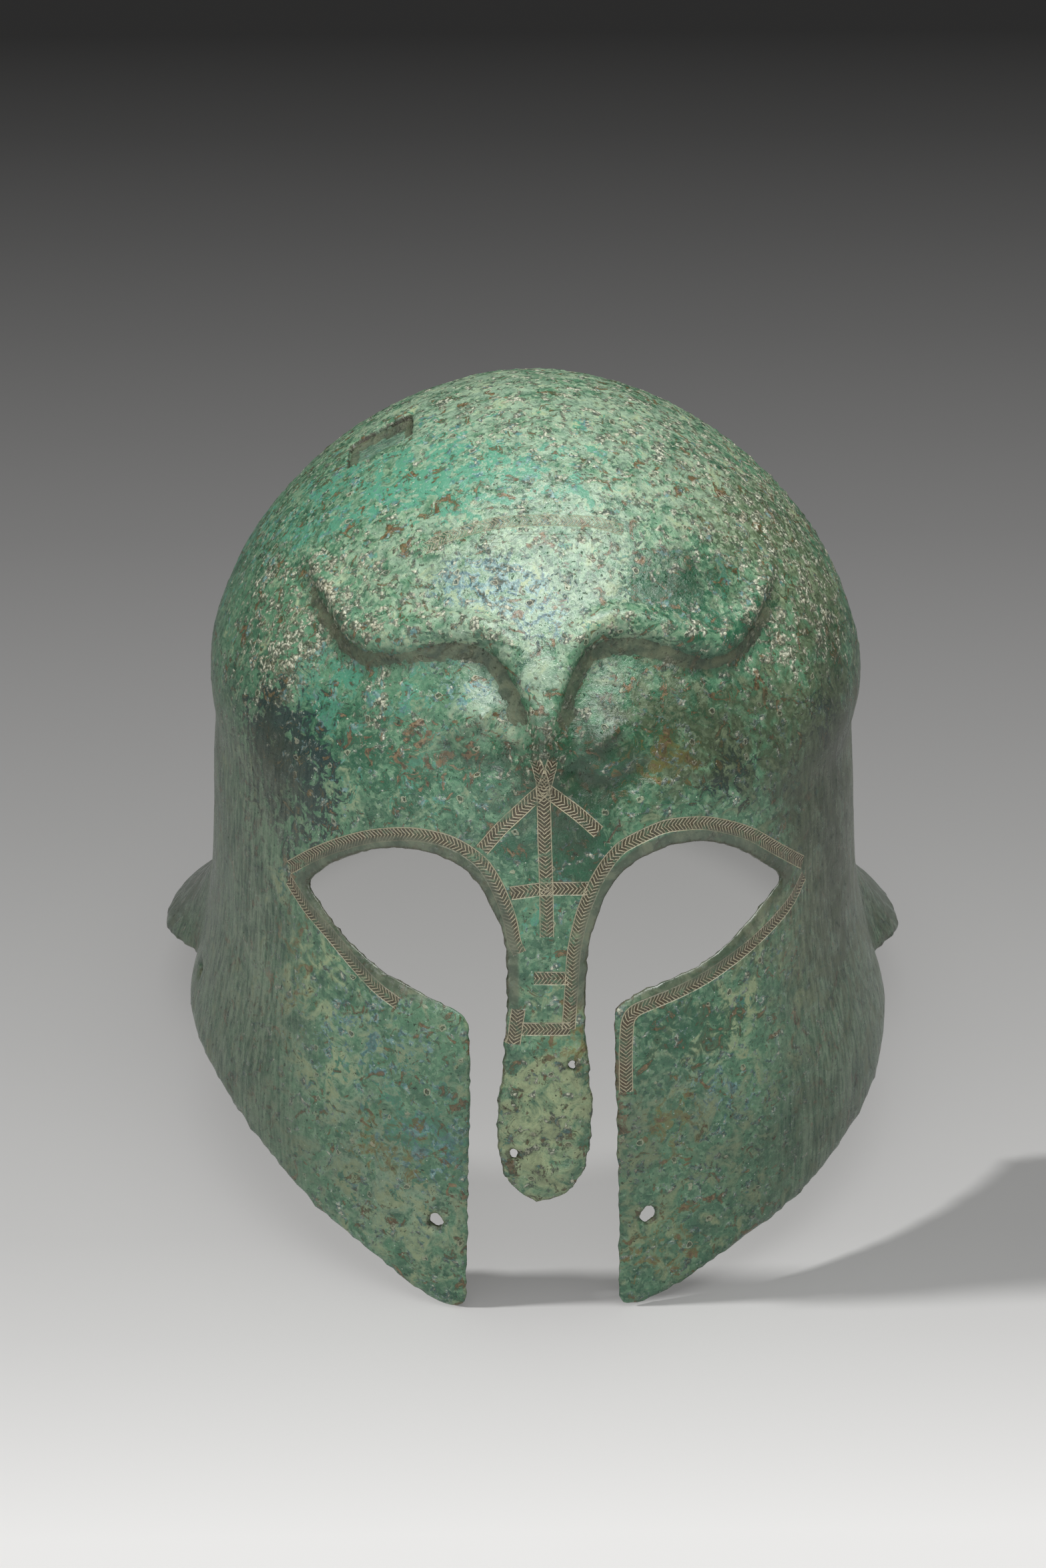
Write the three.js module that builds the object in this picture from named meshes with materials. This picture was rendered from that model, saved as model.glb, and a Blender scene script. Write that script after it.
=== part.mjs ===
// A Corinthian helmet, raised from one sheet of bronze: one open shell with eye openings, a nose
// guard, two cheek pieces and a flared neck guard. Millimetres, +Z up, the face towards -Y.
//
// The helmet is laid out as it is worn. A place on its outer face is an azimuth and a station:
// azimuth 0 is the middle of the face, +90 degrees the +X side and 180 the back; station 0 is the
// top of the bowl, 1 its widest level, and past 1 the wall goes down to the cheek tips. Then it is
// tipped back to rest on its cheek tips and the back of its neck guard, with the origin under the
// middle of its bounding box.

import * as THREE from 'three';

const degrees = THREE.MathUtils.radToDeg;
const radians = THREE.MathUtils.degToRad;
const { lerp, smoothstep } = THREE.MathUtils;

// Driving dimensions: levels are heights above the cheek tips, before the helmet is tipped back.
const WIDEST_LEVEL = 162;
const BOWL_RISE = 88.8;
const BOWL_PROFILE = 1.74;
const PLAN_ROUNDNESS = 2.07;
const CREASE_LEVEL = 149;
const WALL = 1.8;
const EDGE_WALL = 2.7;
const EDGE_WALL_WIDTH = 9;
const FOOT_HEIGHT = 0.9;

// Half widths of the wall to either side and its reach to the front and the back, level by level.
const SECTIONS = {
  columns: ['level', 'left', 'right', 'front', 'back'],
  rows: [
    [0, 103.6, 106.4, 115.5, 98.5],
    [20, 106, 109.2, 116.3, 98.5],
    [40, 107.6, 110.8, 117, 98.5],
    [50, 107.9, 110.4, 117.2, 98.5],
    [60, 106.8, 108.8, 117.4, 98.5],
    [70, 104.2, 105.8, 117.6, 98.5],
    [82, 101.4, 102.4, 117.6, 98.6],
    [95, 99.2, 99.8, 117.4, 99.2],
    [115, 98, 98.4, 116.4, 100.6],
    [135, 97.4, 97.8, 114.8, 103.4],
    [CREASE_LEVEL, 96.6, 96.8, 113.4, 106],
    [155, 97.6, 98.6, 112.8, 109.4],
    [WIDEST_LEVEL, 98.4, 99.6, 112, 111.6],
  ],
};

// The lower edge from the back of a cheek tip, round the ear notch, to the middle of the back.
const LOWER_EDGE = {
  columns: ['azimuth', 'left', 'right'],
  rows: [
    [15.5, 0, 0],
    [20, 5.6, 4.4],
    [25, 12, 8.8],
    [31, 18.2, 13.2],
    [38, 25.4, 18],
    [46, 34, 23.4],
    [56, 43.6, 30.8],
    [66, 49.4, 38],
    [76, 52.8, 45.4],
    [86, 57, 53],
    [95, 61.6, 60],
    [102, 59.2, 58],
    [110, 57.4, 56.6],
    [125, 56, 55.4],
    [142, 54.6, 54.4],
    [160, 53.6, 53.6],
    [180, 53, 53],
  ],
};

// How far the edge of the neck guard stands out past the wall above it.
const GUARD_FLARE = {
  columns: ['azimuth', 'left', 'right'],
  rows: [
    [88, 0, 0],
    [95, -1.8, -1.6],
    [100, 5, 8.4],
    [105, 13, 14],
    [112, 20, 20],
    [120, 27, 27],
    [130, 36, 35.6],
    [142, 44, 43.6],
    [160, 48, 48],
    [180, 48.5, 48.5],
  ],
};
const GUARD_TOP = 104;
const GUARD_CURL = 1.8;

// Openings of the face, seen from the front: how far a point is from the middle, and its level.
const EYE_INNER = { left: [18.5, 137], right: [20.5, 137.4] };
const EYE_OUTER = { left: [68.8, 125.6], right: [71.8, 124.8] };
const CHEEK_CORNER = { left: [21.7, 96], right: [20.2, 99] };
const EYE_UPPER = {
  left: [[24.4, 142.2], [32, 144.9], [40, 145], [48, 142.8], [56, 138.6], [63, 133]],
  right: [[27, 142.8], [34, 145.3], [42, 145.6], [50, 143.4], [58, 138.6], [65.6, 131.4]],
};
const EYE_LOWER = {
  left: [[26, 98.6], [34, 101.4], [43, 105.2], [52, 109.6], [61, 116.6]],
  right: [[26.4, 102.4], [35, 105], [44, 107], [53, 111], [63, 118.2]],
};
const NOSE_SIDE = {
  left: [[14, 128], [11.5, 119], [11.1, 108], [11.2, 94], [12, 82], [13.5, 71], [14.1, 60]],
  right: [[16, 128], [13.2, 118], [12.6, 108], [12.4, 94], [13, 84], [14.4, 72], [14.5, 60]],
};
const NOSE_TIP_LEVEL = 37.2;
const NOSE_END_HALF_WIDTH = 14.2;
const NOSE_END_HEIGHT = 19.5;
const NOSE_END_TURN = 58;
const CHEEK_FRONT = {
  left: [[21.3, 71], [21.8, 45], [22.1, 18]],
  right: [[20.8, 71], [21.5, 45], [22, 18]],
};
const TIP_FRONT = { left: [22.6, 0], right: [22.2, 0] };
const CHEEK_SPLIT_AZIMUTH = 58;
const NOSE_ROOT_AZIMUTH = 8.6;
const TEMPLE_AZIMUTH = 40;

// The crest of the brow, from the root of the nose up and out to the hook at the temple.
const BROW_CREST = {
  left: [
    [0.6, 170], [1.7, 180], [3.6, 188.5], [7.6, 196.5], [13, 202], [20, 204.3], [29, 202.6],
    [38, 199.4], [47, 197.4], [55, 197.6], [61, 200.6], [67, 205.4],
  ],
  right: [
    [0.9, 170], [3, 180], [4.8, 188.5], [8, 197], [12.6, 203.4], [20, 205.8], [29, 203.8],
    [39, 200], [48, 196.4], [55, 194.8], [61, 196.2], [66, 200.4], [72.5, 203],
  ],
};
const BROW_DROP = 3.5;
const BROW_DROP_WIDTH = 6.4;
const BROW_ROLL = 1.5;
const BROW_ROLL_WIDTH = 5.5;
const BROW_ROLL_SETBACK = 2;
const BROW_GROOVE = 0.9;
const BROW_GROOVE_WIDTH = 3;
const BROW_BLEND = 3;
const BROW_FADE = { start: 44, end: 60 };
const HOOK_FADE = { start: 0.84, end: 0.99 };
const BROW_LEVELS = { fadeTop: 178, fadeFoot: 150 };
const BOSSES = {
  left: { across: -18.6, level: 184, radius: 12.6, height: 2.9 },
  right: { across: 18, level: 178.5, radius: 14.5, height: 3.1 },
};
const KEEL = { halfWidth: 4.2, height: 1.6, top: 186, foot: 158 };

// The repair on the bowl: a four-sided sunken plate, by its corners seen from above and how deep
// each corner has sunk.
const REPAIR = {
  columns: ['x', 'y', 'sunk'],
  rows: [
    [-55, -13.5, 1.1],
    [-37, -15, 1.7],
    [-37, 1, 3],
    [-54.5, 3, 1.4],
  ],
};
const REPAIR_INSET = 0.9;

// Thong and rivet holes, seen from the front, except the ear hole, which is seen from the side.
const HOLES = [
  { across: -32, level: 29, radius: 2.2 },
  { across: 31, level: 30.6, radius: 2.5 },
  { across: -9.2, level: 53.5, radius: 1.4 },
  { across: 8.4, level: 82, radius: 1.2 },
  { across: -103, level: 69.4, radius: 1.7 },
];

// How many faces the sheet has along each stretch.
const COUNTS = { nose: 4, eye: 13, side: 23, brow: 4, cheek: 13, cheekAcross: 12, bowlRings: 13 };
const CAP_ACROSS = 22;
const CAP_DEEP = 18;
const CAP_STATION = { front: 0.555, back: 0.45 };
const CREST_RING = 4;
const CREST_REACH = 52;
const CREST_TURN = 18;
const CREST_MEET = 8;
const CREST_MIDDLE_LEVEL = 204.5;
const KEEL_COLUMN = 2;
const KEEL_SPREAD = 4;
const KEEL_LEAST = 1.5;

const SIDES = { left: -1, right: 1 };
const BACK = Math.PI;
const STEP = 0.004;

// Reads a table by its first column, and gives the other columns by name.
function reader({ columns, rows }) {
  const names = columns.slice(1);
  const keys = rows.map((row) => row[0]);
  const values = rows.flatMap((row) => row.slice(1));
  const spline = new THREE.CubicInterpolant(keys, values, names.length);
  return (key) => {
    const found = spline.evaluate(key);
    return Object.fromEntries(names.map((name, i) => [name, found[i]]));
  };
}

const sectionAt = reader(SECTIONS);
const lowerEdgeAt = reader(LOWER_EDGE);
const guardFlareAt = reader(GUARD_FLARE);

const sideOf = (azimuth) => (azimuth < 0 ? 'left' : 'right');
const stationOf = (level) => 2 - level / WIDEST_LEVEL;

function levelOf(station) {
  if (station >= 1) return WIDEST_LEVEL * (2 - station);
  return WIDEST_LEVEL + BOWL_RISE * Math.cos((station * Math.PI) / 2) ** (2 / BOWL_PROFILE);
}

function bowlStationOf(level) {
  const height = (level - WIDEST_LEVEL) / BOWL_RISE;
  return (2 / Math.PI) * Math.acos(height ** (BOWL_PROFILE / 2));
}

// How far the neck guard has turned out from the wall, at a level above its edge.
function guardFlare(azimuth, level) {
  const side = sideOf(azimuth);
  const turn = degrees(Math.abs(azimuth));
  const edge = lowerEdgeAt(turn)[side];
  const flare = turn > GUARD_FLARE.rows[0][0] ? guardFlareAt(turn)[side] : 0;
  const down = Math.max(0, (GUARD_TOP - level) / (GUARD_TOP - edge));
  return flare * down ** GUARD_CURL;
}

function radiusAt(azimuth, station) {
  const level = levelOf(station);
  const section = sectionAt(Math.min(level, WIDEST_LEVEL));
  const across = Math.abs(Math.sin(azimuth)) / section[sideOf(azimuth)];
  const deep = Math.abs(Math.cos(azimuth)) / (Math.cos(azimuth) > 0 ? section.front : section.back);
  const plan = (across ** PLAN_ROUNDNESS + deep ** PLAN_ROUNDNESS) ** (-1 / PLAN_ROUNDNESS);
  if (station >= 1) return plan + guardFlare(azimuth, level);
  return plan * Math.sin((station * Math.PI) / 2) ** (2 / BOWL_PROFILE);
}

function smoothPoint(azimuth, station) {
  const radius = radiusAt(azimuth, station);
  return new THREE.Vector3(
    radius * Math.sin(azimuth),
    -radius * Math.cos(azimuth),
    levelOf(station),
  );
}

// The azimuth of a point of the face that is a given distance across from the middle.
function azimuthAcross(across, level) {
  const station = level > WIDEST_LEVEL ? bowlStationOf(level) : stationOf(level);
  let azimuth = across / radiusAt(0, station);
  for (let step = 0; step < 12; step += 1) {
    azimuth = Math.asin(across / radiusAt(azimuth, station));
  }
  return azimuth;
}

// Relief of the brow. It is measured on the face unrolled round its middle line: how far round,
// and how far down from the top of the bowl, both in millimetres.
const MIDDLE_LINE = Array.from({ length: 241 }, (_, i) => smoothPoint(0, (i / 240) * 1.5));
const MIDDLE_LENGTHS = MIDDLE_LINE.reduce((lengths, point, i) => {
  lengths.push(i === 0 ? 0 : lengths[i - 1] + point.distanceTo(MIDDLE_LINE[i - 1]));
  return lengths;
}, []);

function unrolled(azimuth, station) {
  const place = Math.min(station / 1.5, 1) * 240;
  const below = Math.min(Math.floor(place), 239);
  const down = lerp(MIDDLE_LENGTHS[below], MIDDLE_LENGTHS[below + 1], place - below);
  return new THREE.Vector2(azimuth * radiusAt(0, station), down);
}

function unrolledAcross(across, level) {
  const station = level > WIDEST_LEVEL ? bowlStationOf(level) : stationOf(level);
  return unrolled(azimuthAcross(across, level), station);
}

function crestLine(side) {
  const points = BROW_CREST[side].map(([across, level]) => unrolledAcross(SIDES[side] * across, level));
  return new THREE.SplineCurve(points).getSpacedPoints(90);
}

const CRESTS = { left: crestLine('left'), right: crestLine('right') };

// Where a spot lies against the brow's crest: its distance, more than 0 on the sunken side below the
// crest and past its foot, and how far along the crest it is, from 0 at the nose to 1 at the hook.
function againstCrest(spot, side) {
  const line = CRESTS[side];
  const along = new THREE.Vector2();
  const offset = new THREE.Vector2();
  let nearest = Infinity;
  let sunken = 1;
  let share = 0;
  for (let i = 1; i < line.length; i += 1) {
    along.subVectors(line[i], line[i - 1]);
    offset.subVectors(spot, line[i - 1]);
    const part = offset.dot(along) / along.lengthSq();
    const onPiece = THREE.MathUtils.clamp(part, 0, 1);
    const away = offset.clone().addScaledVector(along, -onPiece).length();
    if (away < nearest) {
      const pastFoot = i === 1 && part < 0;
      nearest = away;
      sunken = pastFoot ? 1 : Math.sign(SIDES[side] * along.cross(offset)) || 1;
      share = (i - 1 + onPiece) / (line.length - 1);
    }
  }
  return { below: sunken * nearest, share };
}

function bell(distance, width) {
  return Math.exp(-((distance / width) ** 2));
}

function browRelief(side, azimuth, station, spot) {
  const { below, share } = againstCrest(spot, side);
  const turn = degrees(Math.abs(azimuth));
  const level = levelOf(station);
  const toHook = 1 - smoothstep(share, HOOK_FADE.start, HOOK_FADE.end);
  const toSide = 1 - smoothstep(turn, BROW_FADE.start, BROW_FADE.end);
  const down = smoothstep(level, BROW_LEVELS.fadeFoot, BROW_LEVELS.fadeTop);
  const drop = BROW_DROP * smoothstep(below, 0, BROW_DROP_WIDTH);
  const groove = BROW_GROOVE * bell(below - BROW_DROP_WIDTH, BROW_GROOVE_WIDTH);
  const roll = BROW_ROLL * bell(below + BROW_ROLL_SETBACK, BROW_ROLL_WIDTH);
  return toHook * toSide * down * (roll - drop - groove);
}

function bossRelief(spot, { across, level, radius, height }) {
  const distance = spot.distanceTo(unrolledAcross(across, level));
  return distance < radius ? height * (1 - (distance / radius) ** 2) ** 2 : 0;
}

function keelRelief(spot, station) {
  const level = levelOf(station);
  if (level > KEEL.top || level < KEEL.foot) return 0;
  const height = KEEL.height * Math.sin((Math.PI * (level - KEEL.foot)) / (KEEL.top - KEEL.foot));
  return height * bell(spot.x, KEEL.halfWidth);
}

function relief(azimuth, station) {
  const turn = degrees(Math.abs(azimuth));
  const level = levelOf(station);
  if (turn > BROW_FADE.end + 10 || level < BROW_LEVELS.fadeFoot || station < 0.4) return 0;
  const spot = unrolled(azimuth, station);
  const brows = ['left', 'right'].map((side) => browRelief(side, azimuth, station, spot));
  const brow = lerp(...brows, smoothstep(spot.x, -BROW_BLEND, BROW_BLEND));
  const bosses = bossRelief(spot, BOSSES.left) + bossRelief(spot, BOSSES.right);
  return brow + bosses + keelRelief(spot, station);
}

// Outward direction of the smooth face, without its relief.
function outwardOf(azimuth, station) {
  if (station < STEP) return new THREE.Vector3(0, 0, 1);
  const round = smoothPoint(azimuth + STEP, station).sub(smoothPoint(azimuth - STEP, station));
  const down = smoothPoint(azimuth, station + STEP).sub(smoothPoint(azimuth, station - STEP));
  return down.cross(round).normalize();
}

function outerPoint(azimuth, station) {
  const point = smoothPoint(azimuth, station);
  const raised = relief(azimuth, station);
  if (raised === 0) return point;
  return point.addScaledVector(outwardOf(azimuth, station), raised);
}

// The sheet: vertices that know their azimuth and station, and four-sided faces between them.
class Sheet {
  constructor() {
    this.vertices = [];
    this.faces = [];
    this.known = new Map();
  }

  vertex(azimuth, station) {
    const turned = azimuth <= -BACK + 1e-6 ? BACK : azimuth;
    const key = `${Math.round(turned * 1e5)} ${Math.round(station * 1e5)}`;
    if (!this.known.has(key)) {
      this.known.set(key, this.vertices.length);
      this.vertices.push({ azimuth: turned, station, sunk: 0 });
    }
    return this.known.get(key);
  }

  // Faces over a grid of vertex numbers, rows from top to bottom. Columns run from -X to +X as
  // seen from outside, unless flipped.
  fill(grid, flipped) {
    for (let row = 1; row < grid.length; row += 1) {
      for (let column = 1; column < grid[row].length; column += 1) {
        const face = [
          grid[row - 1][column - 1],
          grid[row][column - 1],
          grid[row][column],
          grid[row - 1][column],
        ];
        this.faces.push(flipped ? face.reverse() : face);
      }
    }
  }

  // The ring of eight vertices round one, in order, and the four faces inside it.
  ringRound(centre) {
    const inside = this.faces.filter((face) => face.includes(centre));
    const next = new Map();
    inside.forEach((face) => {
      const at = face.indexOf(centre);
      const [first, middle, last] = [1, 2, 3].map((step) => face[(at + step) % 4]);
      next.set(first, middle);
      next.set(middle, last);
    });
    const ring = [next.keys().next().value];
    while (ring.length < 8) ring.push(next.get(ring[ring.length - 1]));
    this.faces = this.faces.filter((face) => !inside.includes(face));
    return ring;
  }

  nearest(azimuth, station) {
    const spot = smoothPoint(azimuth, station);
    const distances = this.vertices.map((v) => spot.distanceTo(smoothPoint(v.azimuth, v.station)));
    return distances.indexOf(Math.min(...distances));
  }
}

// A smooth line through places given as [azimuth, level], cut into equal lengths.
function route(places, count) {
  const girth = 100;
  const points = places.map(([azimuth, level]) => new THREE.Vector3(azimuth * girth, level, 0));
  const curve = new THREE.CatmullRomCurve3(points, false, 'centripetal');
  return curve.getSpacedPoints(count).map((point) => [point.x / girth, point.y]);
}

// Fills the inside of a grid from its four edges, each a list of [azimuth, level].
function spanned(top, foot, left, right) {
  return left.map((_, row) => {
    const v = row / (left.length - 1);
    return top.map((__, column) => {
      const u = column / (top.length - 1);
      return [0, 1].map((i) => {
        const across = lerp(left[row][i], right[row][i], u);
        const down = lerp(top[column][i], foot[column][i], v);
        const upper = lerp(top[0][i], top[top.length - 1][i], u);
        const lower = lerp(foot[0][i], foot[foot.length - 1][i], u);
        return across + down - lerp(upper, lower, v);
      });
    });
  });
}

function addPatch(sheet, edges, flipped) {
  const places = spanned(...edges);
  const grid = places.map((row) => row.map(([azimuth, level]) => sheet.vertex(azimuth, stationOf(level))));
  sheet.fill(grid, flipped);
}

// One half of the wall below the crease, in four patches: nose, over the eye, cheek and side.
function addHalfWall(sheet, side) {
  const sign = SIDES[side];
  const place = ([across, level]) => [azimuthAcross(sign * across, level), level];
  const onEdge = (turn) => [sign * radians(turn), lowerEdgeAt(turn)[side]];
  const crease = (turn) => [sign * radians(turn), CREASE_LEVEL];
  const inner = place(EYE_INNER[side]);
  const outer = place(EYE_OUTER[side]);

  const noseEnd = Array.from({ length: 7 }, (_, i) => {
    const turn = radians((i / 6) * NOSE_END_TURN);
    return [NOSE_END_HALF_WIDTH * Math.sin(turn), NOSE_TIP_LEVEL + NOSE_END_HEIGHT * (1 - Math.cos(turn))];
  });
  const tip = [0, NOSE_TIP_LEVEL];
  const noseCorner = place(noseEnd[6]);
  const noseSide = [EYE_INNER[side], ...NOSE_SIDE[side]].map(place);
  const lowerPlaces = LOWER_EDGE.rows.map((row) => row[0]);
  const split = onEdge(CHEEK_SPLIT_AZIMUTH);

  const creaseNose = route([crease(0), crease(NOSE_ROOT_AZIMUTH)], COUNTS.nose);
  const creaseEye = route([crease(NOSE_ROOT_AZIMUTH), crease(TEMPLE_AZIMUTH)], COUNTS.eye);
  const creaseSide = route([crease(TEMPLE_AZIMUTH), crease(180)], COUNTS.side);
  const innerCut = route([crease(NOSE_ROOT_AZIMUTH), inner], COUNTS.brow);
  const outerCut = route([crease(TEMPLE_AZIMUTH), outer], COUNTS.brow);
  const cheekCut = route([outer, split], COUNTS.cheek);
  const noseRows = COUNTS.cheek + 4;
  const middle = route([crease(0), [0, 138]], COUNTS.brow).concat(route([[0, 138], tip], noseRows).slice(1));
  const noseEdge = innerCut.concat(route([...noseSide, noseCorner], noseRows).slice(1));
  const noseFoot = route(noseEnd.map(place), COUNTS.nose);
  const eyeTop = route([EYE_INNER[side], ...EYE_UPPER[side], EYE_OUTER[side]].map(place), COUNTS.eye);
  const eyeFoot = route([CHEEK_CORNER[side], ...EYE_LOWER[side], EYE_OUTER[side]].map(place), COUNTS.cheekAcross);
  const cheekFront = route([CHEEK_CORNER[side], ...CHEEK_FRONT[side], TIP_FRONT[side]].map(place), COUNTS.cheek);
  const tipPlaces = [place(TIP_FRONT[side]), ...lowerPlaces.filter((turn) => turn < CHEEK_SPLIT_AZIMUTH).map(onEdge)];
  const cheekFoot = route([...tipPlaces, split], COUNTS.cheekAcross);
  const guardPlaces = lowerPlaces.filter((turn) => turn > CHEEK_SPLIT_AZIMUTH).map(onEdge);
  const sideFoot = route([split, ...guardPlaces], COUNTS.side);
  const sideCut = outerCut.concat(cheekCut.slice(1));
  const backLine = route([crease(180), onEdge(180)], COUNTS.brow + COUNTS.cheek);

  const flipped = side === 'left';
  addPatch(sheet, [creaseNose, noseFoot, middle, noseEdge], flipped);
  addPatch(sheet, [creaseEye, eyeTop, innerCut, outerCut], flipped);
  addPatch(sheet, [eyeFoot, cheekFoot, cheekFront, cheekCut], flipped);
  addPatch(sheet, [creaseSide, sideFoot, sideCut, backLine], flipped);
  return [...creaseNose, ...creaseEye.slice(1), ...creaseSide.slice(1)].map(([azimuth]) => azimuth);
}

// Place of a corner of the cap's grid, which covers the top of the bowl: -1 to 1 across and deep.
function capPlace(across, deep) {
  const x = across * Math.sqrt(1 - deep ** 2 / 2);
  const y = deep * Math.sqrt(1 - across ** 2 / 2);
  const azimuth = Math.atan2(x, -y);
  const toBack = (1 - Math.cos(azimuth)) / 2;
  const reach = lerp(CAP_STATION.front, CAP_STATION.back, toBack);
  return { azimuth, station: Math.hypot(x, y) * reach };
}

function addCap(sheet) {
  const grid = Array.from({ length: CAP_DEEP + 1 }, (_, row) =>
    Array.from({ length: CAP_ACROSS + 1 }, (__, column) => {
      const place = capPlace((2 * column) / CAP_ACROSS - 1, 1 - (2 * row) / CAP_DEEP);
      return sheet.vertex(place.azimuth, place.station);
    }),
  );
  sheet.fill(grid, false);
}

// The cap's edge from the middle of the front round one side to the middle of the back.
function capEdge(sign) {
  const edge = [];
  const halfAcross = CAP_ACROSS / 2;
  for (let i = 0; i <= halfAcross; i += 1) edge.push(capPlace(sign * (i / halfAcross), -1));
  for (let i = 1; i <= CAP_DEEP; i += 1) edge.push(capPlace(sign, (2 * i) / CAP_DEEP - 1));
  for (let i = halfAcross - 1; i >= 0; i -= 1) edge.push(capPlace(sign * (i / halfAcross), 1));
  return edge;
}

// Half of the band of the bowl between the cap and the crease. One ring of it follows the outer
// part of the brow's crest, and one column the part that runs down to the nose, so that the crest
// stays crisp.
function addHalfBowl(sheet, side, creaseAzimuths) {
  const sign = SIDES[side];
  const foot = stationOf(CREASE_LEVEL);
  const edge = capEdge(sign);
  const rings = COUNTS.bowlRings;
  const outerCrestAt = reader({
    columns: ['turn', 'station'],
    rows: BROW_CREST[side]
      .filter(([across]) => across > CREST_TURN)
      .map(([across, level]) => [degrees(azimuthAcross(across, level)), bowlStationOf(level)]),
  });
  const innerCrestAt = reader({
    columns: ['level', 'across'],
    rows: BROW_CREST[side]
      .filter(([across]) => across < CREST_TURN)
      .map(([across, level]) => [level, Math.max(across, KEEL_LEAST)]),
  });

  const middleStation = bowlStationOf(CREST_MIDDLE_LEVEL);
  const stationAt = (top, turn, ring) => {
    const even = lerp(top.station, foot, CREST_RING / rings);
    const follow = 1 - smoothstep(turn, CREST_REACH, CREST_REACH + 25);
    const browStation = lerp(middleStation, outerCrestAt(turn).station, smoothstep(turn, 0, CREST_MEET));
    const crest = lerp(even, browStation, follow);
    if (ring < CREST_RING) return lerp(top.station, crest, ring / CREST_RING);
    return lerp(crest, foot, (ring - CREST_RING) / (rings - CREST_RING));
  };

  const azimuthAt = (column, ring) => lerp(edge[column].azimuth, creaseAzimuths[column], ring / rings);

  const drawnIn = (azimuth, ring, station) => {
    const level = levelOf(station);
    const near = smoothstep(level, CREASE_LEVEL, 168) * (1 - smoothstep(level, 204, 222));
    const home = Math.abs(azimuthAt(KEEL_COLUMN, ring));
    const crest = azimuthAcross(innerCrestAt(level).across, level);
    const share = Math.abs(azimuth) / home;
    const pull = share < 1 ? share : Math.max(0, 1 - (share - 1) / KEEL_SPREAD);
    return azimuth + sign * (crest - home) * pull * near;
  };

  const grid = Array.from({ length: rings + 1 }, (_, ring) =>
    edge.map((top, column) => {
      const azimuth = azimuthAt(column, ring);
      const station = stationAt(top, degrees(Math.abs(azimuth)), ring);
      const onEdge = ring === 0 || ring === rings;
      return sheet.vertex(onEdge ? azimuth : drawnIn(azimuth, ring, station), station);
    }),
  );
  sheet.fill(grid, side === 'left');
}

// Sinks a four-sided plate into the bowl round the vertex nearest to its middle.
function sinkRepair(sheet) {
  const corners = REPAIR.rows.map(([x, y, sunk]) => ({ x, y, sunk }));
  const mix = (a, b) => ({ x: (a.x + b.x) / 2, y: (a.y + b.y) / 2, sunk: (a.sunk + b.sunk) / 2 });
  const outline = corners.flatMap((corner, i) => [corner, mix(corner, corners[(i + 1) % 4])]);
  const middle = mix(mix(corners[0], corners[2]), mix(corners[1], corners[3]));
  const placeOf = ({ x, y }) => {
    const azimuth = Math.atan2(x, -y);
    let station = 0.5;
    for (let step = 0; step < 30; step += 1) station *= Math.hypot(x, y) / radiusAt(azimuth, station);
    return { azimuth, station };
  };
  const home = placeOf(middle);
  const centre = sheet.nearest(home.azimuth, home.station);
  const ring = sheet.ringRound(centre);
  const flat = (v) => smoothPoint(v.azimuth, v.station);
  const gap = (v, target) => Math.hypot(flat(v).x - target.x, flat(v).y - target.y);
  const starts = ring.map((id, i) => [gap(sheet.vertices[id], outline[0]) + (i % 2 ? 1000 : 0), i]);
  const cornerFirst = (i) => sheet.faces.filter((face) => face.includes(ring[i])).length === 3;
  const start = starts.filter(([, i]) => cornerFirst(i)).sort((a, b) => a[0] - b[0])[0][1];
  const ordered = ring.map((_, i) => ring[(start + i) % 8]);
  const floor = ordered.map((id, i) => {
    Object.assign(sheet.vertices[id], placeOf(outline[i]));
    const inset = {
      x: outline[i].x + Math.sign(middle.x - outline[i].x) * REPAIR_INSET,
      y: outline[i].y + Math.sign(middle.y - outline[i].y) * REPAIR_INSET,
    };
    sheet.vertices.push({ ...placeOf(inset), sunk: outline[i].sunk });
    return sheet.vertices.length - 1;
  });
  sheet.vertices[centre] = { ...home, sunk: middle.sunk };
  ordered.forEach((id, i) => {
    const next = (i + 1) % 8;
    sheet.faces.push([id, ordered[next], floor[next], floor[i]]);
  });
  [0, 2, 4, 6].forEach((i) => {
    sheet.faces.push([floor[i], floor[i + 1], centre, floor[(i + 7) % 8]]);
  });
}

// Opens a round hole where the four faces round a vertex meet.
function pierce(sheet, { across, level, radius }) {
  const azimuth = azimuthAcross(across, level);
  const station = stationOf(level);
  const centre = sheet.nearest(azimuth, station);
  const ring = sheet.ringRound(centre);
  const reach = radiusAt(azimuth, station);
  const rim = ring.map((id) => {
    const vertex = sheet.vertices[id];
    const round = (vertex.azimuth - azimuth) * reach;
    const down = (vertex.station - station) * WIDEST_LEVEL;
    const length = Math.hypot(round, down);
    sheet.vertices.push({
      azimuth: azimuth + ((round / length) * radius) / reach,
      station: station + ((down / length) * radius) / WIDEST_LEVEL,
      sunk: 0,
    });
    return sheet.vertices.length - 1;
  });
  ring.forEach((id, i) => {
    const next = (i + 1) % ring.length;
    sheet.faces.push([id, ring[next], rim[next], rim[i]]);
  });
}

// Edges that only one face uses, each in that face's direction.
function openEdges(faces) {
  const edges = new Map();
  faces.forEach((face) => {
    face.forEach((from, i) => {
      const to = face[(i + 1) % face.length];
      if (edges.has(`${to} ${from}`)) edges.delete(`${to} ${from}`);
      else edges.set(`${from} ${to}`, [from, to]);
    });
  });
  return [...edges.values()];
}

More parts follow.
